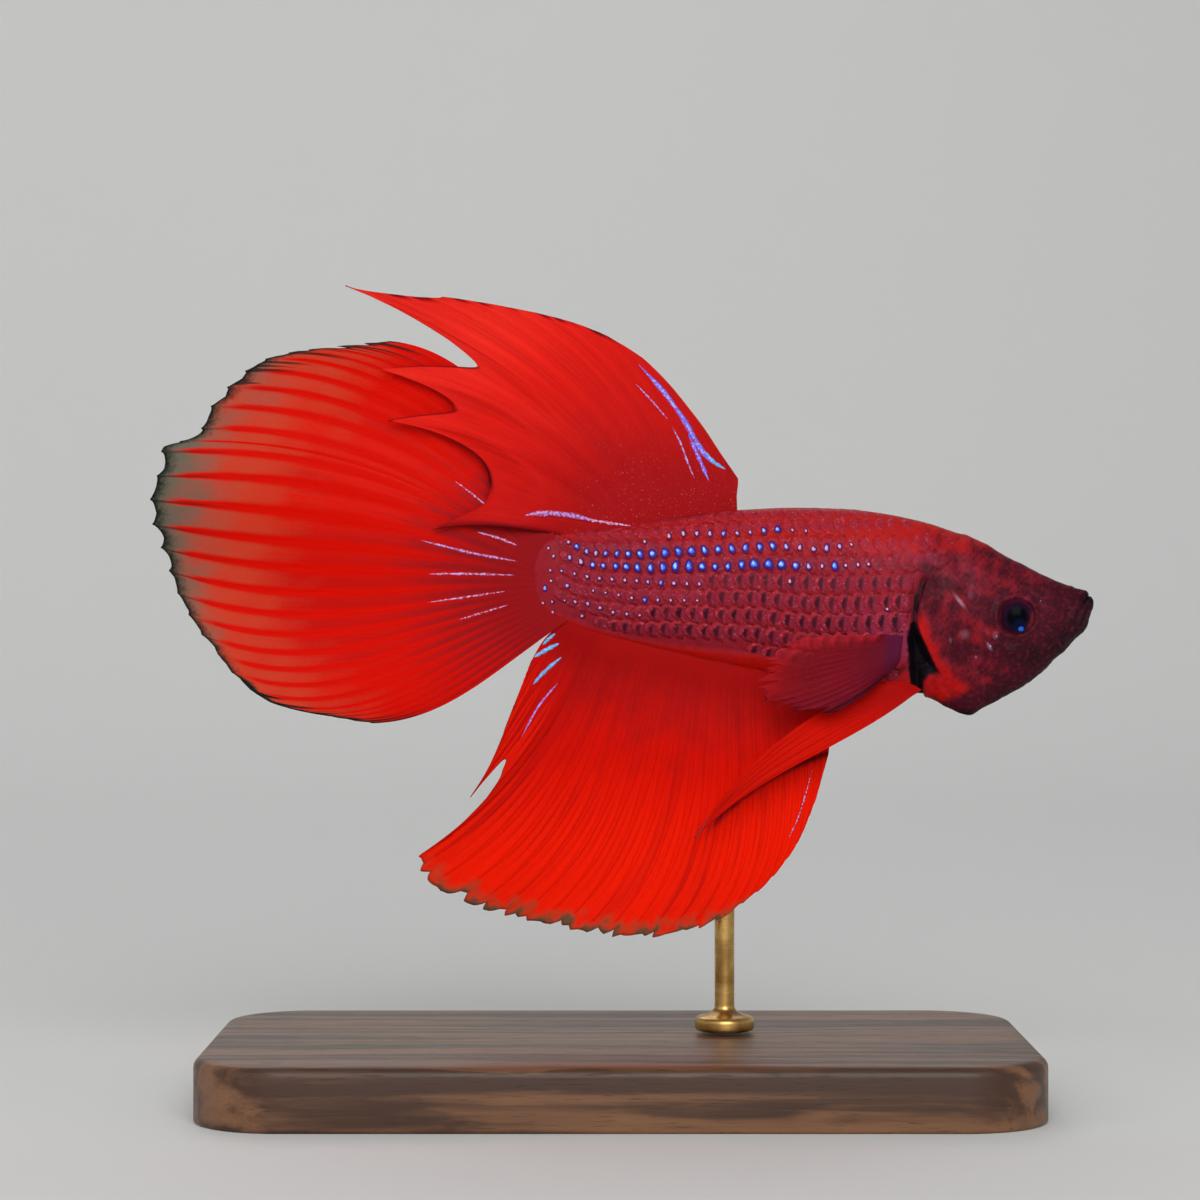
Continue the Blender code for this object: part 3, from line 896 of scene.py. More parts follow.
@dataclass
class Markings:
    """The colours of skin and scales as shares of a few inks, from places on the side.

    Each spot is an oval's centre, half sizes, tilt in degrees and strength.
    """

    relief: Relief
    dark_spots: Sequence[Spot] = (
        ((32, 35.9), (2.1, 1.1), -10, 0.9), ((27.6, 36.1), (1.2, 0.9), 10, 0.6),
        ((24.9, 40.9), (0.9, 1.4), 0, 0.55), ((26.8, 38.2), (1.1, 1), 0, 0.25),
        ((22.3, 43), (2.6, 0.35), -6, 0.45), ((29.5, 32.2), (3.5, 0.9), 12, 0.9),
        ((19.5, 35.6), (3.6, 1.2), -8, 0.3), ((34.6, 36.6), (2.4, 1.1), 42, 0.8),
        ((37.3, 40.4), (0.7, 0.5), 0, 0.9), ((30.6, 39.2), (0.9, 1.4), 10, 0.35),
        ((26.8, 41.3), (1.2, 0.5), -30, 0.4), ((28.2, 31.3), (1.1, 0.7), 0, 0.8),
        ((29.2, 39.7), (1.3, 0.8), 0, 0.35), ((30.4, 43.4), (1.8, 0.6), -30, 0.5),
    )
    black_spots: Sequence[Spot] = (
        ((22.25, 38), (0.35, 0.75), 0, 0.75), ((32.3, 36), (1.5, 1), -8, 0.5),
        ((24, 39.6), (0.22, 1.2), 12, 0.6), ((22.2, 34), (0.25, 1.1), -42, 0.7),
        ((37.5, 40.3), (0.45, 0.35), 0, 0.6), ((34.6, 36.4), (2, 0.9), 42, 0.28),
        ((28.2, 31), (0.9, 0.4), 0, 0.5),
    )
    violet_spots: Sequence[Spot] = (
        ((23.3, 43.9), (2.4, 0.55), -8, 0.35), ((22.95, 36.5), (0.3, 1.3), 3, 1),
        ((28, 42.1), (1.6, 1.2), -20, 0.35), ((21.6, 36.6), (1.2, 1.4), 0, 0.5),
        ((28.4, 40.7), (0.5, 0.6), 0, 0.5), ((33.6, 40.6), (1.6, 0.8), -25, 0.3),
        ((20.5, 38.5), (3, 1.2), 0, 0.5),
    )
    # The first two are a painted highlight along the jaw's front and underside; the rest are pale specks on
    # the cheek and gill cover.
    pale_specks_and_jaw_light: Sequence[Spot] = (
        ((37.9, 38.2), (0.4, 1.5), -24, 0.4), ((36.4, 36.7), (0.9, 0.3), 45, 0.3),
        ((27.4, 40.1), (0.75, 0.15), -52, 0.55), ((27.8, 37.4), (0.45, 0.4), 0, 0.26),
        ((30.3, 37.3), (0.22, 0.3), 0, 0.35), ((29.8, 36.4), (0.34, 0.13), 118, 0.6),
        ((26.65, 36.9), (0.13, 0.28), 0, 0.3), ((28.7, 35.55), (0.17, 0.12), 0, 0.35),
        ((31.5, 36.4), (0.45, 0.38), 0, 0.14), ((28.8, 34.3), (0.2, 0.1), 30, 0.2),
        ((29.6, 37.6), (0.15, 0.3), 20, 0.2), ((28.3, 40.5), (0.25, 0.3), 0, 0.2),
    )

    def layers(self, x: Array, z: Array) -> dict[str, Array]:
        """Works out the inks.

        Args:
            x: places along the fish.
            z: their heights.

        Returns:
            Two vector layers: InkA holds wine, dark and black; InkB bright, violet and pale.
        """
        ahead, along = Line(self.relief.gill_edge).offset(x, z)
        edge = ramp(0, 0.2, along)
        head = ramp(23.6, 25.2, x)
        top = 44.9 + 1.1 * ramp(8, 2, x)
        wine = ramp(top, top - 1.7, z) * ramp(35.4, 37.8, z + 0.12 * (x - 2) * (x > 2))
        wine = wine * (1 - head) + head * ramp(46.5, 43, z + 0.25 * (x - 27))
        dark = 0.34 * head * ramp(46.5, 43, z + 0.4 * (x - 26))
        dark = dark + 0.72 * ramp(29, 37, x + 0.25 * (41 - z))
        dark = spotted(dark, self.dark_spots, x, z, 0.7)
        clouds, specks = 0.5 + 0.5 * waves(x, z, 1.6, 21), np.clip(waves(x, z, 0.6, 24), 0, 1)
        dark += 0.35 * head * clouds + 0.25 * head * specks
        dark += 0.22 * (1 - head) * ramp(0.1, 1, waves(x, z, 1.3, 22))
        # Painted shade, over a dark membrane: black fills the gill opening, and a black line runs just behind
        # the cover's rear edge, where it stands off the body.
        black = ramp(-0.12, 0.12, self.relief.pocket(x, z) + 0.06 * waves(x, z, 0.5, 25))
        black += edge * 0.85 * bump(ahead + 0.24, 0.26) * ramp(33, 34, z) * ramp(1, 0.85, along)
        black = spotted(black, self.black_spots, x, z, 0.6)
        rise = z - through(BodyForm().belly, x)
        black += 0.36 * ramp(33.4, 37.6, x + 0.12 * (39 - z)) + 0.2 * ramp(36.9, 38.1, x)
        black += 0.42 * ramp(0.45, 0, rise) * ramp(24.6, 26, x)
        black += 0.34 * ramp(2.6, 0.3, rise) * ramp(28, 31, x)
        wide = 1.3 + 0.2 * waves(x, z, 1.2, 26)
        margin = ramp(-0.1, 0.15, ahead) * ramp(wide, 0.3, ahead) * ramp(39.6, 38.4, z) * edge
        bright = 0.95 * margin + 0.9 * patch(x, z, (25.7, 33.2), (1.8, 1), -16, 0.9)
        bright += 0.4 * ramp(35, 32.8, z) * ramp(24.4, 25.4, x) * ramp(33, 29, x)
        bright += 0.35 * ridge(self.relief.cheek_ridge, x, z, 0.45) * ramp(40.2, 38.5, z)
        bright += 0.4 * patch(x, z, (29.9, 37.6), (0.5, 0.6), 30, 0.9)
        bright += 0.3 * bump(np.hypot(x - 32, z - 38.8) - 1.72, 0.16)
        bright += 0.9 * ramp(0.3, -0.5, z - through(LOWER_LIMIT, x)) * (1 - head)
        bright += 0.4 * patch(x, z, (25.6, 45), (2.2, 1), -15) + 0.2 * ramp(-4.5, -6.5, x)
        dark = dark * (1 - 0.5 * np.clip(bright, 0, 1))
        violet = 0.35 * ramp(0.6, 1.4, waves(x, z, 0.9, 23)) * ramp(47, 44, z)
        violet = spotted(violet, self.violet_spots, x, z, 0.8)
        violet += 0.5 * bump(np.hypot(x - 32, z - 38.85) - 1.78, 0.2)
        pale = spotted(np.zeros(x.shape), self.pale_specks_and_jaw_light, x, z, 0.8)
        ink_a, ink_b = (wine, dark, black), (bright * (1 - 0.5 * black), violet, pale)
        return {"InkA": np.clip(vectors(*ink_a), 0, 1), "InkB": np.clip(vectors(*ink_b), 0, 1)}


@dataclass(frozen=True)
class FleshFinish:
    """Wet red skin: the inks of the markings, clouded and freckled, under a slimy gloss."""

    name: str
    red: Colour = (176, 28, 26)
    wine: Colour = (144, 28, 40)
    dark: Colour = (66, 14, 26)
    black: Colour = (12, 10, 16)
    bright: Colour = (196, 20, 12)
    violet: Colour = (146, 46, 80)
    pale: Colour = (176, 136, 158)
    mottle: Colour = (138, 40, 62)
    cool: Colour = (28, 16, 36)

    def lay(self, finish: Finish) -> None:
        """Lays the skin's colours in a finish, from the flesh up.

        Args:
            finish: the material under construction.
        """
        here = finish.place()
        wine, dark, black = finish.layer("InkA")
        bright, violet, pale = finish.layer("InkB")
        cloud = finish.noise(here, 0.8, 3) - 0.5
        speck = finish.noise(here, 2.6, 3)
        finish.colour = finish.mix((wine + cloud * 0.7).step(0.1, 0.9), self.red, self.wine)
        finish.coat((violet + cloud * 0.5).step(0, 1) * 0.8, self.violet)
        finish.coat((bright * (cloud * 0.9 + speck * 0.8 + 0.6)).step(0, 1.1), self.bright)
        finish.coat((dark + cloud * 0.5).step(0, 1.1), self.dark)
        finish.coat(speck.step(0.5, 0.78) * 0.22, self.dark)
        finish.coat((1 - speck).step(0.54, 0.76) * 0.16, self.violet)
        finish.coat((pale + (speck - 0.5) * pale * 1.4).step(0, 1), self.pale)
        finish.coat(black, self.black)
        mottle = finish.noise(here, 2.9, 2)
        finish.coat(mottle.step(0.5, 0.7) * dark * 0.24, self.mottle)
        finish.coat((1 - mottle).step(0.5, 0.7) * dark * 0.32, self.cool)

    def material(self) -> Material:
        """Makes the skin's material.

        Returns:
            The material.
        """
        finish = Finish(self.name, Coat_Weight=0.04, Coat_Roughness=0.18, Specular_IOR_Level=0.05)
        here = finish.place()
        pores = finish.noise(here, 7, 3, 0.6)
        finish.relief(pores, 0.05)
        roughness = pores * 0.25 + 0.36
        self.lay(finish)
        return finish.finished(roughness)


@dataclass
class Skin:
    """One closed skin over head, jaw, gill covers, trunk and tail stalk."""

    form: BodyForm
    relief: Relief
    markings: Markings
    around: int = 288
    spacing_body: float = 0.3
    spacing_head: float = 0.076
    head_start: float = 22.6
    snout_start: float = 36
    snout_rows: int = 40

    def fitting(self) -> Fitting:
        """Fits the plain form to the solids of the trunk and head."""
        x = np.linspace(self.form.tail_end, self.form.snout, 200)[:, None]
        plain = self.form.section(x, np.linspace(0, TURN, 97)[None, :])
        return Fitting.between(plain, node_box("head", "trunk", "tail_stalk", "lower_jaw"), np.zeros(3))

    def stations(self) -> Array:
        """Places along the fish, close together on the head and closest at the snout.

        Returns:
            The places, from the tail to the snout.
        """
        body = np.arange(self.form.tail_end, self.head_start, self.spacing_body)
        head = np.arange(self.head_start, self.snout_start, self.spacing_head)
        turn = np.sin(np.linspace(0, QUARTER, self.snout_rows))
        return np.concatenate([body, head, self.snout_start + (self.form.snout - self.snout_start) * turn])

    def build(self) -> None:
        """Makes the skin: plain sections moved along their normals by the relief."""
        x = self.stations()[:, None]
        angle = turns(self.around)[None, :]
        plain = self.form.section(x, angle)
        normal = self.form.normal(x, angle)
        across, up = seen_from_side(plain)
        points = plain + normal * self.relief.heights(across, up)[..., None]
        points[..., 0] = np.minimum(points[..., 0], self.form.snout)
        ends = np.stack([points[0].mean(axis=0), points[-1].mean(axis=0)])
        flat = np.vstack([points.reshape(-1, 3), ends])
        piece = make_piece(
            "fish_skin",
            self.fitting().apply(flat),
            grid_quads(len(x), self.around, wraps=True),
            FleshFinish("wet_skin").material(),
            end_fans(len(x), self.around),
            self.markings.layers(*seen_from_side(flat)),
        )
        nodes = ("head", "lower_jaw", "gill_cover_right", "gill_cover_left", "trunk", "tail_stalk")
        place(piece, "body_skin", *nodes)


# ---- Scales and their glints ----

BAKE_MARGIN = 0.02
BAKE_SPAN = (48, 28)
BAKE_PATCH = 0.0015


def bake_patches(x: Array, up: Array, across: Array, along: Array) -> Array:
    """Gives each small shell a patch of the bake's chart at its place on the flank.

    Args:
        x: the shells' distances from the rearmost one.
        up: their distances from the lowest one.
        across: where points lie across their shell, from -1 to 1.
        along: where they lie along it.

    Returns:
        The chart's coordinates: margin + distance / span + patch * place in the shell.
    """
    return vectors(BAKE_MARGIN + x / BAKE_SPAN[0] + BAKE_PATCH * across,
                   BAKE_MARGIN + up / BAKE_SPAN[1] + BAKE_PATCH * along)


def doubled(values: Array) -> Array:
    """The values of each small shell's outer face, given to its inner face too."""
    return np.stack([values, values], axis=1).reshape(-1, values.shape[-1])


def on_flank(points: Array, side: Side) -> Array:
    """Points of the right flank, mirrored for the left one."""
    return points * np.array([1, -side.value, 1])


@dataclass
class ScaleRows:
    """Where the rows of scales run: eight counted rows, and more over the back and the belly."""

    form: BodyForm
    third_row: Sequence[Point] = (
        (-6.6, 44.4), (-4.7, 43.9), (-4.05, 43.65), (-3.15, 43.3), (-2.2, 43.05), (0, 42.93),
        (2.5, 42.82), (5, 42.95), (8, 42.95), (12, 43.1), (15, 42.95), (18, 42.95),
        (22, 43.1), (28, 43.4),
    )
    spacing: Sequence[Point] = (
        (-7, 0.95), (-4.5, 1.13), (1.5, 1.3), (10, 1.43), (18, 1.62), (22, 1.6), (28, 1.5),
    )
    pitch: Sequence[Point] = (
        (-7, 0.85), (-4, 0.88), (0, 0.98), (5, 1.07), (16, 1.08), (28, 1.05),
    )
    first_row: int = -4
    last_row: int = 9
    shift: float = 0.2
    closer: float = 0.95

    def height(self, x: Array, row: Array) -> Array:
        """The height of a counted row at x, from the side drawing's rows.

        Args:
            x: places along the fish.
            row: the row at each place.

        Returns:
            The heights.
        """
        drawn = through(self.third_row, x) + (2 - row) * through(self.spacing, x)
        nearer = 1 - self.form.half_width(x, drawn) / VIEW_DISTANCE
        across = VIEW_CENTRE[0] + (x - VIEW_CENTRE[0]) / nearer
        drawn = through(self.third_row, across) + (2 - row) * through(self.spacing, across)
        return VIEW_CENTRE[1] + (drawn - VIEW_CENTRE[1]) * nearer

    def lengths(self, x: Array, row: Array) -> Array:
        """The length along the section from the belly to a row.

        The counted rows lie at their heights; the others follow at the rows' spacing along
        the section.

        Args:
            x: places along the fish, in a flat array.
            row: the row at each place.

        Returns:
            The lengths.
        """
        angle, girth = self.form.girth(x)
        counted = np.clip(row, 0, 7)
        at = self.form.angle_at(x, self.height(x, counted)) / angle[1]
        lower = np.clip(at.astype(int), 0, len(angle) - 2)
        place = np.arange(len(x))
        before, after = girth[place, lower], girth[place, lower + 1]
        base = before + (after - before) * (at - lower)
        return base - (row - counted) * through(self.spacing, x) * self.closer

    def angles(self, x: Array, lengths: Array) -> Array:
        """The section angles at lengths from the belly, running on over the back.

        Args:
            x: places along the fish.
            lengths: a length at each place.

        Returns:
            The angles.
        """
        angle, girth = self.form.girth(x)
        whole = np.concatenate([girth, 2 * girth[:, -1:] - girth[:, -2::-1]], axis=1)
        wanted = np.clip(lengths, 0, whole[:, -1])
        lower = np.clip((whole < wanted[:, None]).sum(axis=1) - 1, 0, whole.shape[1] - 2)
        place = np.arange(len(x))
        before, after = whole[place, lower], whole[place, lower + 1]
        return (lower + (wanted - before) / (after - before)) * angle[1]

    def roots(self, start: float, end: float) -> tuple[Array, Array]:
        """Places where scales are rooted, spaced by the pitch along each row.

        Args:
            start: the rearmost place.
            end: the foremost place.

        Returns:
            The places along the fish and their rows.
        """
        fine = np.linspace(start, end, 600)
        count = np.concatenate([[0], np.cumsum(np.diff(fine) / through(self.pitch, fine[:-1]))])
        rows = np.arange(self.first_row, self.last_row + 1)
        numbers = np.arange(int(count[-1]))
        row, number = (grid.ravel() for grid in np.meshgrid(rows, numbers, indexing="ij"))
        return np.interp(number + 0.5 - self.shift * np.mod(row, 5), count, fine), row.astype(float)


@dataclass
class Scales:
    """Overlapping plates over the trunk, each a thin crowned shell with a round rear edge.

    A plate is a grid of a from its root to its rear edge and b across. Its place is
    root - length * a * (1 - rounding * b ** 2) along the fish and b * breadth / 2 round it, and
    its height runs from under the skin at the root to the lift at the rear edge.
    """

    form: BodyForm
    relief: Relief
    markings: Markings
    rows: ScaleRows
    length: float = 1.62
    overlap_across: float = 1.12
    lift: float = 0.034
    sunk: float = 0.02
    crown: float = 0.014
    rounding: float = 0.34
    variety: float = 0.08
    unevenness: float = 0.012
    full_pitch: float = 1.07
    thickness: float = 0.03
    grid: int = 5
    start: float = -4.56
    end: float = 28.2

    def build(self, side: Side, fitting: Fitting) -> None:
        """Makes one flank's scales.

        Args:
            side: which flank.
            fitting: the skin's fitting to the solids.
        """
        x, row = self.rows.roots(self.start, self.end)
        length = self.rows.lengths(x, row)
        _, girth = self.form.girth(x)
        drawn_x, drawn_z = seen_from_side(self.form.section(x, self.rows.angles(x, length)))
        cover = self.relief.scaled(drawn_x - 0.6 * self.length, drawn_z)
        root_cover = self.relief.scaled(drawn_x - 0.2, drawn_z)
        keep = (length < girth[:, -1] - 0.1) & (length > 0.6) & (cover > 0.5) & (root_cover > 0.6)
        x, row, length = x[keep], row[keep], length[keep]
        points, layers = self._plates(x, row, length)
        faces = repeated(shell_quads(self.grid, self.grid), len(x), 2 * self.grid**2)
        finish = ScaleFinish("scale_" + side.label).material()
        points = fitting.apply(on_flank(points, side))
        piece = make_piece("scales_" + side.label, points, faces, finish, layers=layers)
        place(piece, "body_skin")
        log.info("%s: %d plates", piece.name, len(x))

    def _plates(self, x: Array, row: Array, length: Array) -> tuple[Array, dict[str, Array]]:
        """Shapes every plate of the right flank at once.

        Args:
            x: the plates' roots along the fish.
            row: their rows.
            length: their roots' lengths from the belly.

        Returns:
            The points, and the layers at them.
        """
        random = np.random.default_rng(31)
        size = 1 + self.variety * random.uniform(-1, 1, (len(x), 1))
        size = size * np.clip(through(self.rows.pitch, x) / self.full_pitch, 0.8, 1)[:, None]
        tip = random.uniform(-self.unevenness, self.unevenness, (len(x), 1))
        steps = np.linspace(0, 1, self.grid)
        a, b = (grid.ravel()[None, :] for grid in np.meshgrid(steps, 2 * steps - 1, indexing="ij"))
        breadth = (through(self.rows.spacing, x) * self.overlap_across)[:, None]
        fullness = 0.72 + 0.28 * np.sin(math.pi * (0.2 + 0.6 * a))
        across = length[:, None] + 0.5 * breadth * size * b * fullness
        along = x[:, None] - self.length * size * a * (1 - self.rounding * b**2)
        nape = ramp(15, 26, x)[:, None]
        lift = self.lift * (1 - 0.75 * nape)
        height = -self.sunk + (lift + self.sunk) * a + self.crown * (1 - b**2) * (1 - 0.5 * nape)
        height = height - self.relief.scale_depth + tip * a
        along = along.ravel()
        angle = self.rows.angles(along, across.ravel())
        plain, normal = self.form.section(along, angle), self.form.normal(along, angle)
        outer = plain + normal * height.ravel()[:, None]
        inner = outer - normal * self.thickness
        each = self.grid**2
        points = np.stack([outer.reshape(-1, each, 3), inner.reshape(-1, each, 3)], axis=1)
        inks = self.markings.layers(*seen_from_side(plain))
        layers = {name: doubled(values.reshape(-1, each, 3)) for name, values in inks.items()}
        layers["Plate"] = doubled(vectors(a, b, self._strokes(x, row)[:, None]))
        layers["OFBake"] = doubled(bake_patches(x[:, None] - self.start, length[:, None], 2 * a - 1, b))
        return points.reshape(-1, 3), layers

    def _strokes(self, x: Array, row: Array) -> Array:
        """How strongly each plate carries a dark upright stroke: none above the fourth row.

        Args:
            x: the plates' roots along the fish.
            row: their rows.

        Returns:
            Each plate's strength, from 0 to 1.
        """
        at = x * 1.012 - 0.72
        start = np.interp(row, [2.4, 3, 4, 5, 6, 7], [40, 6.9, 6.6, 2.2, -1.5, -3])
        strength = ramp(-0.4, 0.6, at - start) * (row > 2.5) * ramp(24, 22.6, at)
        faint = np.interp(row, [2, 3, 4, 5, 7, 9], [0, 0.85, 0.95, 1, 0.9, 0.35])
        random = np.random.default_rng(33)
        return strength * faint * random.uniform(0.75, 1, len(x))


@dataclass(frozen=True)
class ScaleFinish:
    """A scale: the skin's colours, painted shade at the root, a soft dark stroke, a violet middle, pink
    freckles.
    """

    name: str
    stroke: Colour = (38, 10, 24)
    violet: Colour = (132, 40, 68)
    freckle: Colour = (196, 92, 112)
    # shade: painted shade at each plate's root, and the dark specks of the grain.
    shade: Colour = (92, 14, 26)
    glow: Colour = (190, 42, 48)

    def material(self) -> Material:
        """Makes the scales' material.

        Returns:
            The material.
        """
        finish = Finish(self.name, Coat_Weight=0.03, Coat_Roughness=0.22, Specular_IOR_Level=0.05)
        here = finish.place()
        a, b, stroke = finish.layer("Plate")
        grain = finish.noise(here, 5, 2)
        blotch = finish.noise(here, 2.2, 2) - 0.5
        FleshFinish("flesh").lay(finish)
        middle = (1 - (b.size() + blotch).step(0.2, 0.95)) * 0.42
        finish.coat(middle, self.violet)
        # Painted shade: each plate darkens towards its root, where the plate in front overlaps it.
        root = (1 - a.step(0.34, 0.6)) * 0.15
        finish.coat(root, self.shade)
        finish.coat((a + blotch * 0.9).step(0.62, 1.05) * 0.38, self.glow)
        place_along = (a + (grain - 0.5) * 0.16 + b * 0.06 - 0.64) / 0.12
        place_across = (b + (grain - 0.5) * 0.4).size() / 0.64
        oval = place_along * place_along + place_across * place_across
        ink = (1 - oval.step(0, 2.2)) * stroke
        finish.coat(ink, self.stroke)
        finish.coat((1 - grain).step(0.54, 0.7) * 0.4 * (1 - ink), self.shade)
        freckles = grain.step(0.56, 0.7) * (blotch * 2.5 + 0.6).step(0.1, 1) * 0.6 * (1 - ink)
        finish.coat(freckles, self.freckle)
        rings = finish.noise(finish.joined(a * 9, b * 1.2), 1, 1)
        finish.relief(rings * 0.5 + grain * 0.5, 0.02)
        return finish.finished(grain * 0.2 + 0.36)


@dataclass(frozen=True)
class GlintRow:
    """A row of glints on one row of scales: where each lies, and how big and how blue it is."""

    places: Sequence[float]
    heights: Sequence[Point]
    sizes: Sequence[Point]
    blues: Sequence[Point]
    upright: float = 0.9
    slender: float = 0.66
    halo: float = 1.32

    def marks(self) -> Array:
        """Rows of x, z, half breadth, half height, blueness and tilt, one for each glint.

        Returns:
            The rows, in one array.
        """
        x = np.array(self.places)
        size = through(self.sizes, x) * self.halo
        height, blue = through(self.heights, x), through(self.blues, x)
        return vectors(x, height, size * self.slender, size * self.upright, blue, 0)


# How upright the round glints are, and the rows from the back down; the last row's glints lie
# loose, most of them on the tail stalk.
ROUND = 0.82
GLINT_ROWS = (
    GlintRow(
        (3.95, 5.1, 6.2, 7.25, 8.35, 9.45, 10.5, 11.6, 12.7, 13.9, 15),
        ((3.95, 45.4), (5.1, 45.6), (8.35, 45.6), (10.5, 45.7), (12.7, 45.95), (15, 45.8)),
        ((4, 0.25), (5.1, 0.26), (8.3, 0.27), (10.5, 0.2), (11.6, 0.29), (12.7, 0.31), (13.9, 0.17),
         (15, 0.16)),
        ((4, 0.1), (7, 0.25), (8.35, 0.7), (10, 0.1), (11.6, 0.7), (12.7, 0.95), (14, 0)),
    ),
    GlintRow(
        (-4.15, -3.5, -2.7, -1.95, -1.15, -0.25, 0.65, 1.6, 2.6, 3.6, 4.7, 5.75, 6.8, 7.9, 9, 10.1, 11.25,
         12.3, 13.4, 14.5, 15.6, 16.65, 17.7, 18.65),
        ((-4.15, 44.9), (-3.5, 44.55), (-2.7, 44.15), (-1.9, 44), (2, 43.95), (4.7, 44.15), (8.5, 44.35),
         (11, 44.5), (12.3, 44.6), (14.5, 44.45), (15.6, 44.35), (18.65, 44.7)),
        ((-4.15, 0.2), (-3.5, 0.29), (-2.7, 0.26), (0, 0.3), (2, 0.39), (5, 0.41), (8, 0.36), (12.3, 0.37),
         (13.4, 0.3), (15.6, 0.27), (16.65, 0.33), (18.65, 0.18)),
        ((-4.15, 0.1), (-3.5, 0.95), (-2.7, 0.6), (-1.9, 0.2), (-1.1, 0.8), (1, 1), (12.3, 0.95),
         (13.4, 0.5), (15, 0.1), (16.65, 0.45), (18.65, 0)),
    ),
    GlintRow(
        (-4.05, -3.15, -2.2, -1.35, -0.35, 0.5, 1.4, 2.45, 3.45, 4.45, 5.55, 6.6, 7.65, 8.7, 9.8, 10.8,
         11.95, 13, 14.15, 15.2, 16.3, 17.3, 18.2, 19.2, 20.05),
        ((-4.05, 43.65), (-3.15, 43.3), (-2.2, 43.05), (0, 42.93), (2.5, 42.82), (5, 42.97), (8, 42.9),
         (10.8, 43.15), (13, 43.1), (15.2, 42.93), (17.3, 42.97), (20.05, 43.1)),
        ((-4.05, 0.25), (-2.2, 0.31), (-1.35, 0.28), (0.5, 0.35), (3.45, 0.41), (5.55, 0.46), (7.65, 0.33),
         (9.8, 0.38), (10.8, 0.47), (13, 0.43), (15.2, 0.31), (16.3, 0.22), (17.3, 0.38), (18.2, 0.2),
         (20.05, 0.2)),
        ((-4.05, 0.4), (-3.15, 0.1), (-2.2, 0.8), (0.5, 1), (13, 1), (14.2, 0.85), (15.2, 0.5), (16.3, 0.1),
         (17.3, 0.95), (18.2, 0.05), (20, 0)),
    ),
    GlintRow(
        (-4.7, -3.65, -2.65, -1.65, -0.65, 0.4, 1.35, 2.25, 3.3, 4.35, 5.4, 6.4, 13.7),
        ((-4.7, 42.55), (-1.65, 41.95), (1.35, 41.75), (3.3, 41.6), (6.4, 41.5), (13.7, 41.7)),
        ((-4.7, 0.17), (-0.65, 0.21), (2.25, 0.2), (3.3, 0.26), (6.4, 0.19), (13.7, 0.25)),
        ((-4.7, 0.2), (-0.65, 0.15), (1.35, 0), (3.3, 0.8), (4.4, 0.2), (13.7, 0.1)),
        ROUND,
    ),
    GlintRow(
        (-4.25, -2.15, -1.15, -0.1, 0.95, 2, 3.05, 4.1, 5.2, 6.25),
        ((-4.25, 41.35), (-2.15, 40.95), (-0.1, 40.6), (2, 40.2), (6.25, 40.15)),
        ((-4.25, 0.24), (-2.15, 0.15), (0.9, 0.2), (2, 0.27), (3.05, 0.2), (6.25, 0.16)),
        ((-4.25, 0.2), (-2.15, 0), (0.9, 0.1), (2, 0.9), (3.05, 0.1), (6.25, 0)),
        ROUND,
    ),
    GlintRow(
        (-4.45, -3.6, -2.6, -1.6, -0.55, 0.55, 1.6),
        ((-4.45, 40.15), (-2.6, 39.9), (-0.55, 39.2), (1.6, 38.95)),
        ((-4.45, 0.14), (-3.6, 0.2), (-2.6, 0.24), (1.6, 0.17)),
        ((-4.45, 0), (-3, 0.2), (1.6, 0)),
        ROUND,
    ),
    GlintRow(
        (-6.2, -6.05, -5.75, -5.6, -5.55, -5.45, -5.4, -5.35, -3.05, 2, 21.55),
        ((-6.2, 39.95), (-6.05, 41.15), (-5.75, 44.4), (-5.6, 42.6), (-5.55, 41.75), (-5.45, 40.05),
         (-5.4, 39.2), (-5.35, 43.75), (-3.05, 38.9), (2, 44.95), (21.55, 39.45)),
        ((-6.2, 0.19), (-6.05, 0.27), (-5.7, 0.17), (-5, 0.2), (21, 0.19)),
        ((-6.2, 0), (-6.05, 0.7), (-5.9, 0.1), (21, 0.1)),
        ROUND,
    ),
)
# Loose specks on the gill cover and the cheek, as a row's marks are given: x, z, half breadth,
# half height, tint and tilt in degrees. The tint runs from lilac at 0 to dusty brown at -1.
HEAD_SPECKS = (
    (27.2, 40.35, 0.12, 0.3, -0.01, -36), (30.35, 37.25, 0.1, 0.16, -0.6, -30),
    (29.85, 36.45, 0.11, 0.22, -0.1, -30), (26.65, 36.95, 0.08, 0.14, -0.4, -24),
    (28.7, 35.5, 0.09, 0.08, -0.4, 0), (27, 38.6, 0.06, 0.09, -0.5, 0),
    (33.9, 40.1, 0.06, 0.06, -0.6, 0),
)


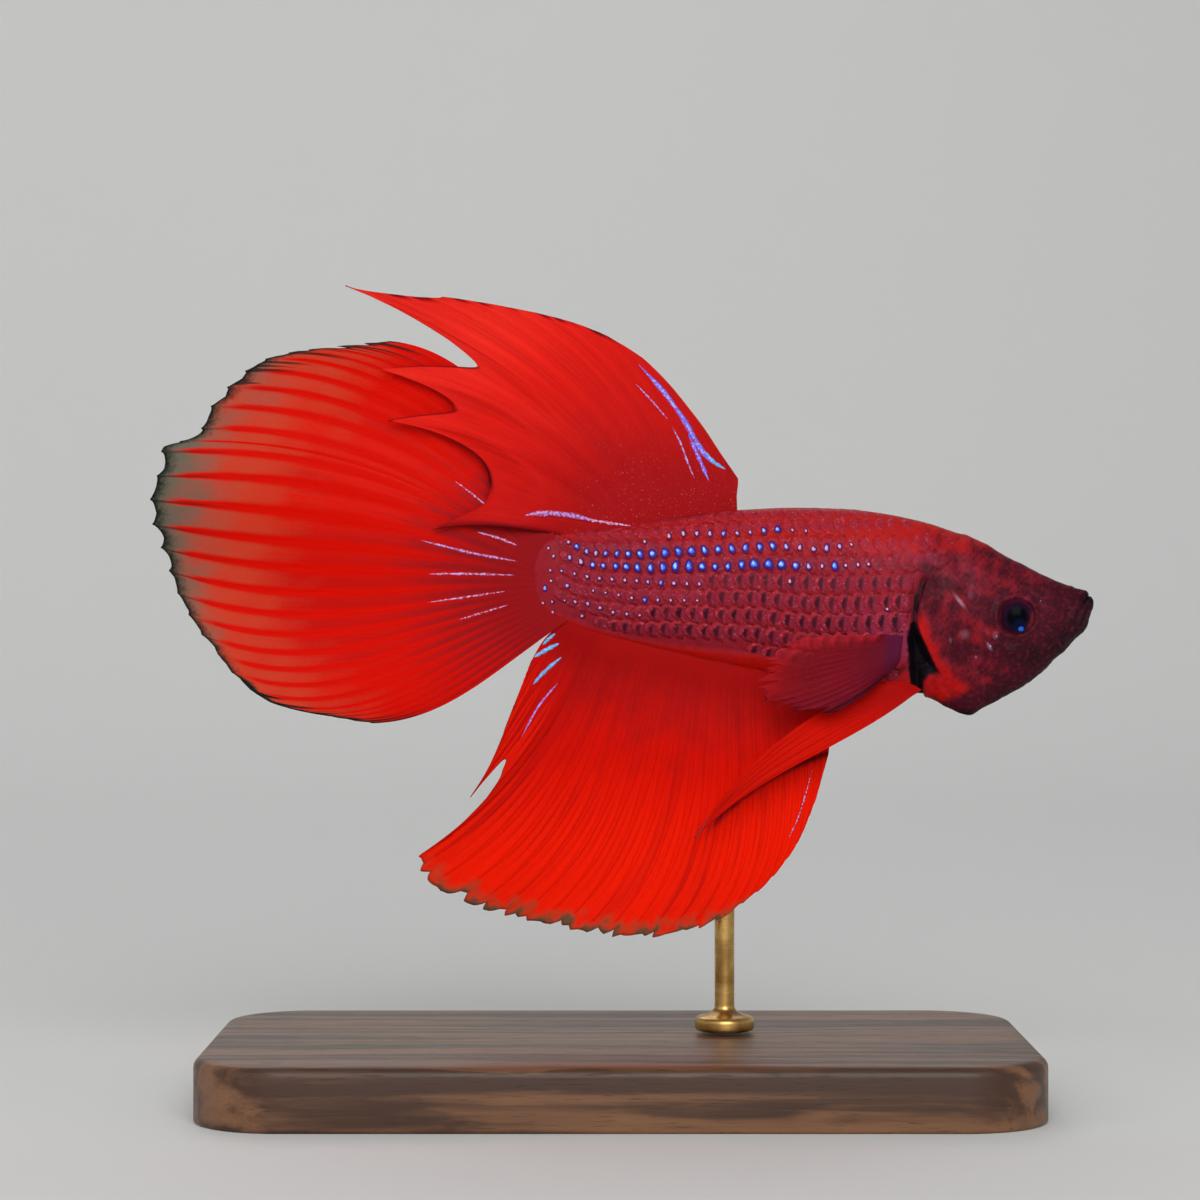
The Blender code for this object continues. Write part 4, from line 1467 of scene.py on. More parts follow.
@dataclass
class Glints:
    """Small mirror-bright lenses set on the scales, cyan in the middle and violet at the rim."""

    form: BodyForm
    lift: float = 0.03
    rim: float = 0.012
    sunk: float = 0.05
    spokes: int = 14
    rings: Sequence[float] = (0.02, 0.5, 0.8, 1)
    lean: Point = (0.3, -0.8)
    rearmost: float = -6.5
    lowest: float = 30

    def build(self, side: Side, fitting: Fitting) -> None:
        """Makes one flank's glints.

        Each is a grid of rings and spokes: the place is its centre plus its half sizes times
        the ring's share, and its height over the scales falls with the square of that share.

        Args:
            side: which flank.
            fitting: the skin's fitting to the solids.
        """
        marks = np.vstack([*(row.marks() for row in GLINT_ROWS), HEAD_SPECKS])
        random = np.random.default_rng(41)
        tilt = np.radians(random.uniform(-26, 4, len(marks)) * (marks[:, 4] >= 0) + marks[:, 5])[:, None]
        share = np.repeat(self.rings, self.spokes)[None, :]
        turn = np.tile(TURN * np.arange(self.spokes) / self.spokes, len(self.rings))[None, :]
        phase = TURN * random.uniform(size=(len(marks), 1))
        wobble = 1 + 0.1 * np.sin(2 * turn + phase) + 0.09 * np.sin(3 * turn + 2 * phase)
        a = marks[:, 2:3] * share * wobble * np.cos(turn)
        b = marks[:, 3:4] * share * wobble * np.sin(turn)
        lean = self.lean[0] * (share - 0.5) * marks[:, 2:3]
        x = marks[:, 0:1] + a * np.cos(tilt) + b * np.sin(tilt) + lean
        z = marks[:, 1:2] + b * np.cos(tilt) - a * np.sin(tilt) + self.lean[1] * lean
        x, z = self.form.from_drawing(x, z)
        angle = self.form.angle_at(x, z)
        plain, normal = self.form.section(x, angle), self.form.normal(x, angle)
        dome = self.lift * (1 - share**2) + self.rim
        points = np.stack([plain + normal * dome[..., None], plain - normal * self.sunk], axis=1)
        each = points.shape[2]
        front = grid_quads(len(self.rings), self.spokes, wraps=True)
        ring = each - self.spokes + np.arange(self.spokes)
        following = np.roll(ring, -1)
        rim = vectors(ring, following, following + each, ring + each)
        faces = np.vstack([front, rim, front[:, ::-1] + each])
        fan = cap(self.spokes)[:, [0, 2, 1]]
        fans = np.vstack([fan, fan[:, ::-1] + each])
        glint = vectors(share, marks[:, 4:5], random.uniform(size=(len(marks), 1)))
        from_rear, from_below = marks[:, :1] - self.rearmost, marks[:, 1:2] - self.lowest
        bake = bake_patches(from_rear, from_below, share * np.cos(turn), share * np.sin(turn))
        piece = make_piece(
            "glints_" + side.label,
            fitting.apply(on_flank(points, side)),
            repeated(faces, len(marks), 2 * each),
            GlintFinish("glint_" + side.label).material(),
            repeated(fans, len(marks), 2 * each),
            {"Glint": doubled(glint), "OFBake": doubled(bake)},
        )
        place(piece, "body_skin")


@dataclass(frozen=True)
class GlintFinish:
    """Mirror-bright cells: cyan-white, then blue, then a violet rim; or lilac ones."""

    name: str
    core: Colour = (150, 222, 255)
    blue: Colour = (70, 96, 236)
    rim: Colour = (46, 10, 116)
    lilac: Colour = (214, 160, 208)
    dusty: Colour = (150, 118, 134)
    soft_rim: Colour = (78, 16, 52)
    skirt: Colour = (112, 18, 36)

    def material(self) -> Material:
        """Makes the glints' material.

        Returns:
            The material.
        """
        finish = Finish(self.name, Coat_Weight=0.06, Coat_Roughness=0.15, Specular_IOR_Level=0.08)
        share, blueness, chance = finish.layer("Glint")
        grain = finish.noise(finish.place(), 6, 2) - 0.5
        patchy = finish.noise(finish.place(), 11, 2) - 0.5
        reach = share + grain * 0.45
        plain = finish.mix(blueness * -1, self.lilac, self.dusty)
        middle = finish.mix(blueness, plain, self.core)
        band = finish.mix(blueness, plain, self.blue)
        rim = finish.mix(blueness, self.soft_rim, self.rim)
        finish.colour = finish.mix((reach + chance * 0.15 + patchy * 0.5).step(0.18, 0.46), middle, band)
        finish.coat(reach.step(0.46, 0.6), rim)
        finish.coat(reach.step(0.78, 1), self.skirt)
        return finish.finished(0.32 + share * 0.2)


# ---- Fins ----


@dataclass(frozen=True)
class Ray:
    """One ray of a fin: where it starts and ends in side view, and the ways it points there."""

    u: float
    base: Point
    lean: float
    tip: Point
    sweep: float


@dataclass(frozen=True)
class Notch:
    """A cut in a fin's edge, from one place along it to another; flat ones are steep-sided."""

    start: float
    end: float
    depth: float
    flat: float = 3


class WebPlaces(NamedTuple):
    """Places on a fin: in side view, across its rays, along them, and how far off its edge."""

    x: Array
    z: Array
    u: Array
    v: Array
    edge: Array


@dataclass(frozen=True)
class Webbing:
    """How a fin's rays and the webbing between them are made, in millimetres and ray steps."""

    rays: int
    per_ray: int
    rows: int
    root_depth: float = 1
    by_edge: float = 0
    root_thickness: float = 0.62
    root_reach: float = 3
    web_thickness: float = 0.16
    edge_thickness: float = 0.09
    ridge: float = 0.035
    ridge_width: float = 0.13
    first_split: Point = (0.3, 0.6)
    second_split: Point = (0.62, 0.92)
    spread: float = 0.17
    fold: float = 0.02
    scallop: float = 0
    fray: float = 0
    end_fray: float = 0
    tuck: float = 0
    seed: int = 1


@dataclass(frozen=True)
class FinFinish:
    """A fin's colours: webbing from root to edge, its rays, fine dark lines and clear places."""

    name: str
    root: Colour
    web: Colour
    ray: Colour
    line: Colour
    rim: Colour
    light: Colour = (236, 70, 60)
    dusk: Colour = (120, 12, 14)
    shade: Colour = (26, 4, 6)
    clear_inner: Colour = (180, 76, 46)
    clear_outer: Colour = (124, 78, 56)
    ray_share: float = 0.3
    ray_from: Point = (0.1, 0.4)
    line_share: float = 0.2
    bands_share: float = 0.45
    threads_share: float = 0.3
    rim_width: float = 0.35
    rim_share: float = 0.6
    soot_and_shadow: float = 0
    soot_reach: float = 1.8
    streak_share: float = 0
    burnt_share: float = 0
    clear_full: float = 0.7
    smoky_from: Point = (0.66, 1)
    lines_from: Point = (0.06, 0.3)
    clear_alpha: float = 1
    freckle: Colour = (206, 120, 132)
    freckle_share: float = 0
    roughness: float = 0.42
    sheen: float = 0.012

    def material(self, webbing: Webbing) -> Material:
        """Makes the fin's material.

        Args:
            webbing: the fin's make, for where its rays split.

        Returns:
            The material.
        """
        finish = Finish(self.name, Specular_IOR_Level=self.sheen)
        number, along, edge = finish.layer("Web")
        clear, light, dusk = finish.layer("Tone")
        here = finish.place()
        cloud = finish.noise(here, 0.5, 3) - 0.5
        grain = finish.noise(here, 3.5, 3, 0.6) - 0.5
        bands = finish.noise(finish.joined(number * 0.9, along * 1.6), 1, 2) - 0.5
        threads = finish.noise(finish.joined(number * 6, along * 2.2), 1, 3, 0.6) - 0.5
        dots = finish.noise(here, 8, 1)
        aside = number.to_nearest()
        away = aside.size()
        first = along.step(*webbing.first_split) * webbing.spread
        second = along.step(*webbing.second_split) * (webbing.spread / 2)
        split = ((away - first).size() - second).size()
        grown = along.step(*self.lines_from)
        on_ray = (1 - split.step(webbing.ridge_width * 0.35, webbing.ridge_width * 1.1)) * grown
        beside = 1 - (split - webbing.ridge_width * 1.25).size().step(0, webbing.ridge_width * 0.6)
        web = finish.mix((along + cloud * 0.35).step(0, 0.42), self.root, self.web)
        web = finish.mix(light * (grain + 1), web, self.light)
        web = finish.mix(dusk + cloud * 0.4 * dusk, web, self.dusk)
        web = finish.mix((bands * 1.8).step(0, 0.5) * (grown * 0.7 + 0.3) * self.bands_share, web, self.dusk)
        web = finish.mix((threads * 3).step(0, 0.6) * grown * self.threads_share, web, self.dusk)
        web = finish.mix(beside * grown * self.line_share, web, self.line)
        ray = finish.mix(on_ray * along.step(*self.ray_from) * self.ray_share, web, self.ray)
        smoky = finish.mix((clear + grain * 0.2).step(*self.smoky_from), self.clear_inner, self.clear_outer)
        smoky = finish.mix((edge + grain * 1.6).step(self.soot_reach, 0) * self.soot_and_shadow, smoky, self.rim)
        openness = (clear + grain * 0.2 + threads * 0.2).step(0, self.clear_full)
        ray = finish.mix(openness, ray, smoky)
        width = 0.3 - clear * 0.18
        streak = 1 - (away + threads * 0.08).step(width * 0.4, width * 1.3)
        streak = streak * (edge + threads * 2).step(0.5, 2.6) * along.step(-0.1, 0.5)
        finish.colour = finish.mix(streak * self.streak_share, ray, self.ray)
        line = 1 - (aside + threads * 0.06 - 0.03).size().step(0.01, 0.075)
        burnt = line * clear.step(0.45, 0.95) * (threads + 0.75) * self.burnt_share
        finish.coat(burnt, self.rim)
        rim = (1 - (edge + grain * self.rim_width * 1.4).step(0, self.rim_width)) * self.rim_share
        finish.coat(rim, self.rim)
        if self.freckle_share > 0:
            freckles = dots.step(0.68, 0.75) * along.step(0.45, 0.05) * self.freckle_share
            finish.coat(freckles, self.freckle)
        # Past 1, dusk lays the shade colour: sooty marks on some fins, painted shadow on others.
        finish.coat(dusk - 1, self.shade)
        finish.relief((threads + 0.5) * 0.5 + on_ray * 0.5, 0.02)
        roughness = grain * 0.2 + self.roughness
        if self.clear_alpha < 1:
            open_web = openness * (1 - streak * self.streak_share) * (1 - burnt) * (1 - rim)
            alpha = 1 - open_web * (1 - self.clear_alpha)
            return finish.finished(roughness, alpha)
        return finish.finished(roughness)


@dataclass
class Fin:
    """A fan of rays with webbing between them, as one thin closed shell.

    A point of the fin is found from u, which picks the ray, and v, which runs from its base
    to its edge: the ray is a cubic Bezier curve whose ends, directions and length change
    smoothly with u, and sway moves it sideways.
    """

    node: str
    rays: Sequence[Ray]
    sway: Callable[[Array, Array], Array]
    webbing: Webbing
    finish: FinFinish
    tones: Callable[[WebPlaces], Tones]
    notches: Sequence[Notch] = ()
    solid_thickness: float = 0.6
    nudge: tuple[float, float, float] = (0, 0, 0)
    swing: float = 1
    fitted: bool = True

    def plane(self, u: Array, v: Array) -> tuple[Array, Array]:
        """Side-view places of points on the fin.

        Args:
            u: which ray.
            v: how far along it; a little below 0 reaches back into the flesh.

        Returns:
            The places along the fish and their heights.
        """
        order = [ray.u for ray in self.rays]

        def column(values: Sequence[float]) -> Array:
            """A ray's measure, read smoothly at u."""
            return through(list(zip(order, values)), u)

        base = np.stack([column([ray.base[axis] for ray in self.rays]) for axis in (0, 1)])
        tip = np.stack([column([ray.tip[axis] for ray in self.rays]) for axis in (0, 1)])
        lean = np.radians(column([ray.lean for ray in self.rays]))
        sweep = np.radians(column([ray.sweep for ray in self.rays]))
        pull = 0.36 * np.hypot(*(tip - base))
        first = base + pull * np.stack([np.cos(lean), np.sin(lean)])
        second = tip - pull * np.stack([np.cos(sweep), np.sin(sweep)])
        whole = v * self.margin(u)
        t = np.clip(whole, 0, None)
        curve = base * (1 - t) ** 3 + 3 * first * t * (1 - t) ** 2 + 3 * second * t * t * (1 - t) + tip * t**3
        curve = curve + 3 * (first - base) * np.clip(whole, None, 0)
        return curve[0], curve[1]

    def margin(self, u: Array) -> Array:
        """How much of a ray's length the webbing keeps at u.

        Args:
            u: which ray, from 0 to 1.

        Returns:
            The share that is kept, at most 1.
        """
        kept = np.ones_like(u)
        for notch in self.notches:
            t = np.clip((u - notch.start) / (notch.end - notch.start), 0, 1)
            kept = kept - notch.depth * (1 - np.abs(2 * t - 1) ** notch.flat)
        return kept

    def reach(self, u: Array) -> Array:
        """The straight distance from each ray's base to the edge."""
        start, end = self.plane(u, np.zeros_like(u)), self.plane(u, np.ones_like(u))
        return np.hypot(end[0] - start[0], end[1] - start[1])

    def surface(self, u: Array, v: Array) -> Array:
        """Points on the fin's middle surface."""
        x, z = self.plane(u, v)
        return vectors(x, self.sway(u, np.clip(v, 0, None)), z)

    def numbers(self, u: Array) -> Array:
        """Counts the rays up to u, by their spacing at the edge, at the base or between.

        Args:
            u: which ray, from 0 to 1.

        Returns:
            The count at each u.
        """
        at_edge, at_base = self.plane(u, np.ones_like(u)), self.plane(u, np.zeros_like(u))
        counts = []
        for x, z in (at_edge, at_base):
            length = np.concatenate([[0], np.cumsum(np.hypot(np.diff(x), np.diff(z)))])
            counts.append(length / length[-1])
        share = self.webbing.by_edge
        return self.webbing.rays * (share * counts[0] + (1 - share) * counts[1])

    def fitting(self) -> Fitting:
        """Fits the fin's middle surface to its solid, where it is to be fitted.

        Returns:
            The fitting.
        """
        if not self.fitted:
            return Fitting(np.ones(3), np.zeros(3))
        u, v = np.meshgrid(np.linspace(0, 1, 400), np.linspace(0, 1, 60))
        margin = np.array([0, self.solid_thickness / 2, 0])
        return Fitting.between(self.surface(u, v), node_box(self.node), margin)

    def fringe(self, number: Array) -> Array:
        """How much the edge gives way between the rays, which end in points.

        Args:
            number: the ray numbers.

        Returns:
            The share of the length that is left.
        """
        make = self.webbing
        between = np.sin(math.pi * np.mod(number, 1) ** 0.8) ** 0.7
        random = np.random.default_rng(make.seed)
        fine = random.uniform(0, 1, 4 * make.rays + 8)
        uneven = np.interp(number * 4, np.arange(len(fine)), fine)
        depth = random.uniform(0.5, 1.5, make.rays + 1)[np.floor(number).astype(int)]
        ends = ramp(0.68, 0.84, np.abs(2 * number / make.rays - 1))
        return 1 - make.scallop * depth * between - (make.fray + make.end_fray * ends) * uneven**2

    def shell(self) -> tuple[Array, Array, Array, Array]:
        """Works out the fin's outer points.

        Returns:
            The right and left faces' points, u and v on the grid, and the ray numbers.
        """
        make = self.webbing
        fine = np.linspace(0, 1, 3000)
        number = np.linspace(0, make.rays, make.rays * make.per_ray + 1)[None, :]
        u = np.interp(number, self.numbers(fine), fine)
        length = self.reach(u)
        buried = make.root_depth / length
        v = np.linspace(0, 1, make.rows)[:, None] * (1 + buried) - buried
        u, v, number = np.broadcast_arrays(u, v, number)
        reach = 1 - (1 - self.fringe(number)) * ramp(0.75, 1, v)
        middle = self.fitting().apply(self.surface(u, v * reach)) + np.array(self.nudge)
        middle[..., 1] *= self.swing
        aside = self._fold(number, np.clip(v, 0, 1))
        near_root = ramp(make.root_reach, 0, v * length)
        middle[..., 1] += aside - np.sign(middle[..., 1]) * make.tuck * near_root
        down, across = np.gradient(middle, axis=0), np.gradient(middle, axis=1)
        normal = np.cross(down, across)
        normal /= np.maximum(np.linalg.norm(normal, axis=-1, keepdims=True), 1e-9)
        normal *= np.where(normal[..., 1:2] > 0, -1, 1)
        half = 0.5 * self.thickness(number, v, v * length)[..., None]
        return middle + normal * half, middle - normal * half, np.stack([u, v]), number

    def _fold(self, number: Array, v: Array) -> Array:
        """The webbing's shallow zigzag between rays, which grows towards the edge."""
        return self.webbing.fold * np.cos(TURN * number) * ramp(0.05, 0.6, v)

    def thickness(self, number: Array, v: Array, from_base: Array) -> Array:
        """The shell's thickness: full at the root, thin at the edge, with a ridge on each ray.

        Args:
            number: the ray numbers.
            v: how far along the rays.
            from_base: the same in millimetres.

        Returns:
            The thickness.
        """
        make = self.webbing
        away = np.abs(np.mod(number + 0.5, 1) - 0.5)
        first = make.spread * ramp(*make.first_split, v)
        second = 0.5 * make.spread * ramp(*make.second_split, v)
        split = np.abs(np.abs(away - first) - second)
        thicker = ramp(make.root_reach, 0, from_base) ** 1.5
        body = make.web_thickness + (make.root_thickness - make.web_thickness) * thicker
        body = body + (make.edge_thickness - make.web_thickness) * ramp(0.5, 1, v)
        return body + make.ridge * bump(split, make.ridge_width) * ramp(1.05, 0.7, v) * ramp(0, 0.3, v)

    def build(self) -> None:
        """Makes and places the fin."""
        right, left, (u, v), number = self.shell()
        steps = np.linalg.norm(np.diff(right, axis=0), axis=-1)
        from_edge = np.zeros(u.shape)
        from_edge[:-1] = np.cumsum(steps[::-1], axis=0)[::-1]
        web = vectors(number, np.clip(v, 0, 1), from_edge)
        tone = vectors(*self.tones(WebPlaces(right[..., 0], right[..., 2], u, v, from_edge)))
        piece = make_piece(
            "fish_" + self.node,
            np.stack([right, left]),
            shell_quads(*u.shape),
            self.finish.material(self.webbing),
            layers={"Web": np.stack([web, web]), "Tone": np.stack([tone, tone])},
        )
        place(piece, "fin", self.node)

    def side_at(self, x: Array, z: Array, side: Side) -> Array:
        """How far out the fin's face is at places in side view.

        Args:
            x: the places along the fish.
            z: their heights.
            side: which face.

        Returns:
            The face's y, as the mean of its nearest sampled points.
        """
        right, left, _, _ = self.shell()
        face = (right if side is Side.RIGHT else left)[:, ::2].reshape(-1, 3)
        away = np.hypot(face[None, :, 0] - x[:, None], face[None, :, 2] - z[:, None])
        nearest = np.argpartition(away, 5, axis=1)[:, :5]
        weight = 1 / (np.take_along_axis(away, nearest, axis=1) + 0.02)
        return (face[nearest, 1] * weight).sum(axis=1) / weight.sum(axis=1)


def dorsal_sway(u: Array, v: Array) -> Array:
    """The rear of the dorsal fin swings to the right of the tail fin it overlaps."""
    over_tail = -1.9 * ramp(0.25, 0.85, u) * (ramp(0, 0.55, v) - 0.45 * ramp(0.45, 0.9, v))
    return over_tail + 0.35 * v * np.sin(TURN * (1.6 * u + 0.1)) * (1 - u)


def caudal_sway(u: Array, v: Array) -> Array:
    """Slow waves that grow towards the tail fin's edge."""
    wave = 1.1 * v**1.4 * np.sin(TURN * (1.9 * u + 0.02)) * ramp(0.03, 0.33, u)
    return wave + 0.1 * v * (1 - u)


def anal_sway(u: Array, v: Array) -> Array:
    """Slow waves, with the fin bowed to the right where the rod passes it."""
    bow = -0.45 * ramp(0.1, 0.35, u) * (1 - ramp(0.55, 0.8, u)) * ramp(0, 0.3, v)
    return bow + 0.9 * v**1.5 * np.sin(TURN * 1.5 * (u - 0.42)) * ramp(0.45, 0.7, u)


def caudal_tones(at: WebPlaces) -> Tones:
    """Where the tail fin is clear, lighter and darker; sooty strokes run along its ends.

    Args:
        at: places on the fin.

    Returns:
        The shares of clear, light and dusky webbing.
    """
    x, z, u, v, edge = at
    frontier = Line((
        (-20, 62), (-22.5, 58.5), (-24.5, 56), (-26.5, 53.5), (-27.5, 50.5), (-28, 47.5),
        (-28.5, 45), (-28.9, 41), (-28.7, 38), (-27.2, 35), (-25, 32.4), (-22, 29.6),
    ))
    beyond = -frontier.offset(x, z)[0]
    clear = np.clip((beyond + 0.8 * waves(x, z, 4, 60) + 5) / 14, 0, 1)
    light = 0.1 * patch(x, z, (-20, 50), (6, 5), 0, 0.8)
    dusk = 0.85 * ramp(-19, -9, x) * ramp(50, 45, z)
    dusk = dusk + 0.35 * patch(x, z, (-22, 40), (9, 4), 0, 0.9)
    uneven = np.clip(0.5 + waves(110 * u, 0.4 * v, 1.6, 61), 0.05, 1)
    ends = np.maximum(ramp(0.25, 0.12, u), ramp(0.82, 0.93, u))
    reach = 0.4 + 7.5 * ends * uneven**2
    strokes = ramp(reach, 0.3 * reach, edge) * ramp(0, 0.5, ends) * ramp(-13, -17, x)
    depth = np.clip(3.6 + 4 * waves(60 * u, 0.3 * v, 1.5, 65), 1.2, 8)
    smears = ramp(depth, 0.2 * depth, edge) * ramp(0.8, 0.88, u) * ramp(-20.5, -22, x)
    return clear, light, dusk + 1.8 * strokes + 1.9 * smears


def dorsal_tones(at: WebPlaces) -> Tones:
    """Where the dorsal fin is lighter and darker, with painted shadow lines by its lobes and last ray.

    Args:
        at: places on the fin.

    Returns:
        The shares of clear, light and dusky webbing.
    """
    x, z, u, v, edge = at
    blank = np.zeros(x.shape)
    band = ((-13, 59.6), (-9, 56.5), (-6, 54.5), (-3.5, 53.3))
    across = 0.55 * (8 - x) + 0.835 * (z - 48)
    light = 0.12 * ridge(band, x, z, 1.3) + 0.5 * patch(x, z, (-22, 65.5), (2.6, 1.2), 160, 0.8)
    light = light + 0.5 * ramp(15, 23, across)
    dusk = np.clip(1 - across / 19, 0, 1)
    soot_and_shadow = np.zeros(x.shape)
    # Painted shadow: dark lines along the lobes' cut edges and under the last ray, where they stand off the
    # tail fin; the marks along the top are sooty pigment.
    for start, end in ((0.695, 0.745), (0.825, 0.945)):
        soot_and_shadow = soot_and_shadow + ramp(start - 0.01, start + 0.01, u) * ramp(end + 0.02, end, u)
    soot_and_shadow = soot_and_shadow * ramp(0.45, 0.12, edge)
    soot_and_shadow = soot_and_shadow + 0.7 * ramp(0.99, 1, u) * ramp(0.1, 0.3, v)
    top = ramp(1.3, 0, edge) * ramp(0.16, 0.26, u) * ramp(0.6, 0.56, u)
    soot_and_shadow = soot_and_shadow + 1.6 * top * np.clip(waves(90 * u, 0.4 * v, 1.5, 62) + 0.25, 0, 0.8)
    return blank, light, dusk + 1.5 * np.clip(soot_and_shadow, 0, 1)


def anal_tones(at: WebPlaces) -> Tones:
    """Where the anal fin is brownish, lighter and darker, with the pelvic fin's shadow painted across it.

    Args:
        at: places on the fin.

    Returns:
        The shares of clear, light and dusky webbing.
    """
    x, z, u, v, edge = at
    ragged = edge + 0.5 * waves(x, z, 1.8, 63) + 0.35 * waves(x, z, 0.8, 64)
    brown = ramp(2.3, -0.2, ragged) * ramp(0.2, 0.32, u) * ramp(0.9, 0.8, u)
    dusk = 0.35 * ramp(0.3, 0, v) * ramp(0, 0.15, u) + 0.4 * ramp(0.8, 0.9, u)
    # Painted shadow: a near-black band along the line under the pelvic fin's lower edge.
    pelvic_shadow_line = ((17.2, 28), (13.7, 26.7), (11.3, 25.4), (8.9, 23.6), (6.4, 21))
    shade = ridge(pelvic_shadow_line, x, z, 0.3) * ramp(6, 9, x)
    # The patch at the front is painted light, where the fin lies in shade.
    light = 0.9 * ramp(28, 19, z) + 0.5 * patch(x, z, (13.5, 23), (3.5, 4), 0, 0.9)
    return brown, light, np.clip(dusk, 0, 1) * (1 - shade) + 1.8 * shade


def pectoral_tones(at: WebPlaces) -> Tones:
    """The pectoral fin clears towards its upper tips and darkens along its lower edge, partly as painted
    shade.

    Args:
        at: places on the fin.

    Returns:
        The shares of clear, light and dusky webbing.
    """
    _, _, u, v, edge = at
    tips = 0.9 * ramp(0.35, 1, v) * ramp(0.8, 0.55, u)
    clear = 1 - (1 - tips) * (1 - 0.9 * ramp(0.45, 0.05, u) * ramp(0.06, 0.16, v))
    dusk = 0.6 * ramp(0.6, 0.95, u)
    light = (0.6 + 0.4 * waves(60 * u, v, 4, 66)) * ramp(0.11, 0.02, v)
    # Painted shade along the lowest rays, where the fin lies against the body, and a darker rim round the
    # lower edge.
    shade = 0.8 * ramp(0.88, 0.97, u) * ramp(0.02, 0.15, v)
    shade = shade + 0.5 * ramp(0.5, 0, edge) * ramp(0.4, 0.7, u)
    return clear, light, np.clip(dusk, 0, 1) + np.clip(shade, 0, 1)


def pelvic_tones(at: WebPlaces) -> Tones:
    """The pelvic fin pales at its tip and is dark along its lower edge.

    Args:
        at: places on the fin.

    Returns:
        The shares of clear, light and dusky webbing.
    """
    _, _, u, v, _ = at
    blank = np.zeros(u.shape)
    pale = ramp(0.94, 1, v) * 0.8
    return blank, pale, 0.35 * ramp(0.2, 0, v) + 1.2 * ramp(0.05, 0, u) * ramp(0.3, 0.6, v)


@dataclass
class PairedSway:
    """The sideways course of a fin that the fish has on both flanks."""

    form: BodyForm
    side: Side

    def pectoral(self, u: Array, v: Array) -> Array:
        """Along the flank at the root, and away from it at the tips.

        Args:
            u: which ray, from 0 to 1.
            v: how far along it.

        Returns:
            The sideways places.
        """
        order = [ray.u for ray in PECTORAL_RAYS]
        roots = [float(self.form.half_width(*ray.base)) + 0.6 for ray in PECTORAL_RAYS]
        away = 1.7 * np.sin(QUARTER * v) + 0.15 * v * np.sin(TURN * u)
        return self.side.value * (np.interp(u, order, roots) + away)

    def pelvic(self, u: Array, v: Array) -> Array:
        """Side by side under the throat, and spread towards the tips."""
        return self.side.value * (1.3 + 2.6 * np.sin(QUARTER * v))


DORSAL_RAYS = (
    Ray(0, (9.4, 47.9), 92, (9.5, 49.5), 95), Ray(0.05, (8.9, 47.9), 98, (8.3, 51.3), 110),
    Ray(0.11, (8.2, 47.8), 103, (5.8, 55), 122), Ray(0.19, (7.3, 47.7), 107, (1.6, 59.6), 132),
    Ray(0.29, (6.1, 47.5), 110, (-3, 62.1), 144), Ray(0.39, (4.9, 47.3), 113, (-8, 63.4), 150),
    Ray(0.5, (3.5, 47), 117, (-14.4, 64.5), 156), Ray(0.62, (2.1, 46.75), 121, (-22.4, 65.5), 158),
    Ray(0.76, (0.5, 46.4), 128, (-19.5, 58.5), 174), Ray(0.89, (-1, 46.1), 138, (-18.9, 54.2), 178),
    Ray(1, (-2.4, 44.7), 177, (-15, 45.2), 193),
)
DORSAL_NOTCHES = (
    Notch(0.5, 0.62, 0.04), Notch(0.62, 0.76, 0.37, 1.5), Notch(0.76, 0.89, 0.27, 2.2), Notch(0.89, 1, 0.42),
)
CAUDAL_RAYS = (
    Ray(0, (-5.2, 45.5), 100, (-19, 61), 178), Ray(0.12, (-6.4, 45), 116, (-28.3, 59.7), 183),
    Ray(0.24, (-7.2, 44.4), 131, (-33.2, 55.5), 180), Ray(0.295, (-7.4, 44.05), 139, (-33.8, 53.9), 181),
    Ray(0.31, (-7.45, 43.9), 141, (-34.9, 53.1), 181), Ray(0.33, (-7.5, 43.8), 143, (-36.9, 52.4), 182),
    Ray(0.37, (-7.6, 43.6), 147, (-37.1, 50.9), 182),
    Ray(0.48, (-7.7, 42.8), 163, (-37.9, 47.5), 173), Ray(0.6, (-7.7, 41.8), 178, (-36.9, 43.7), 165),
    Ray(0.7, (-7.5, 40.9), 188, (-35.6, 40.3), 160), Ray(0.8, (-7.1, 40), 197, (-32.8, 36.3), 157),
    Ray(0.9, (-6.4, 39), 207, (-28.3, 32.2), 162), Ray(1, (-5.1, 37.9), 214, (-20.5, 30.4), 178),
)
ANAL_RAYS = (
    Ray(0, (17.3, 33), 264, (16.8, 27.6), 262), Ray(0.05, (16.3, 33.15), 266, (15.5, 23.3), 252),
    Ray(0.12, (14.8, 33.4), 268, (13.7, 19.6), 240), Ray(0.22, (12.6, 33.85), 268, (10.5, 16.2), 228),
    Ray(0.34, (10, 34.35), 266, (6.2, 13.7), 222), Ray(0.48, (7, 35), 264, (0.5, 12.9), 223),
    Ray(0.62, (3.8, 35.65), 260, (-5.5, 13.9), 220), Ray(0.76, (0.6, 36.4), 256, (-12, 15.6), 211),
    Ray(0.88, (-2.2, 37.15), 250, (-16.5, 19.4), 209), Ray(0.94, (-3.5, 37.55), 246, (-12.2, 24), 234),
    Ray(1, (-5, 37.9), 214, (-7.9, 32.7), 252),
)
ANAL_NOTCHES = (Notch(0.88, 0.94, 0.36), Notch(0.94, 1, 0.12))
PECTORAL_RAYS = (
    Ray(0, (22.5, 37.3), 178, (14.2, 37.1), 183), Ray(0.25, (22.45, 36.7), 186, (11.8, 35.4), 188),
    Ray(0.5, (22.4, 36), 195, (11.2, 33.3), 191), Ray(0.75, (22.35, 35.3), 208, (13, 31.6), 195),
    Ray(1, (22.3, 34.6), 226, (17.2, 31), 205),
)
PELVIC_RAYS = (
    Ray(0, (23.5, 32.5), 216, (5.8, 21.2), 226), Ray(0.35, (22.9, 32.9), 211, (6, 21.5), 229),
    Ray(0.7, (22.1, 33.2), 205, (6.3, 21.9), 232), Ray(1, (20.9, 33.5), 200, (6.6, 22.3), 236),
)


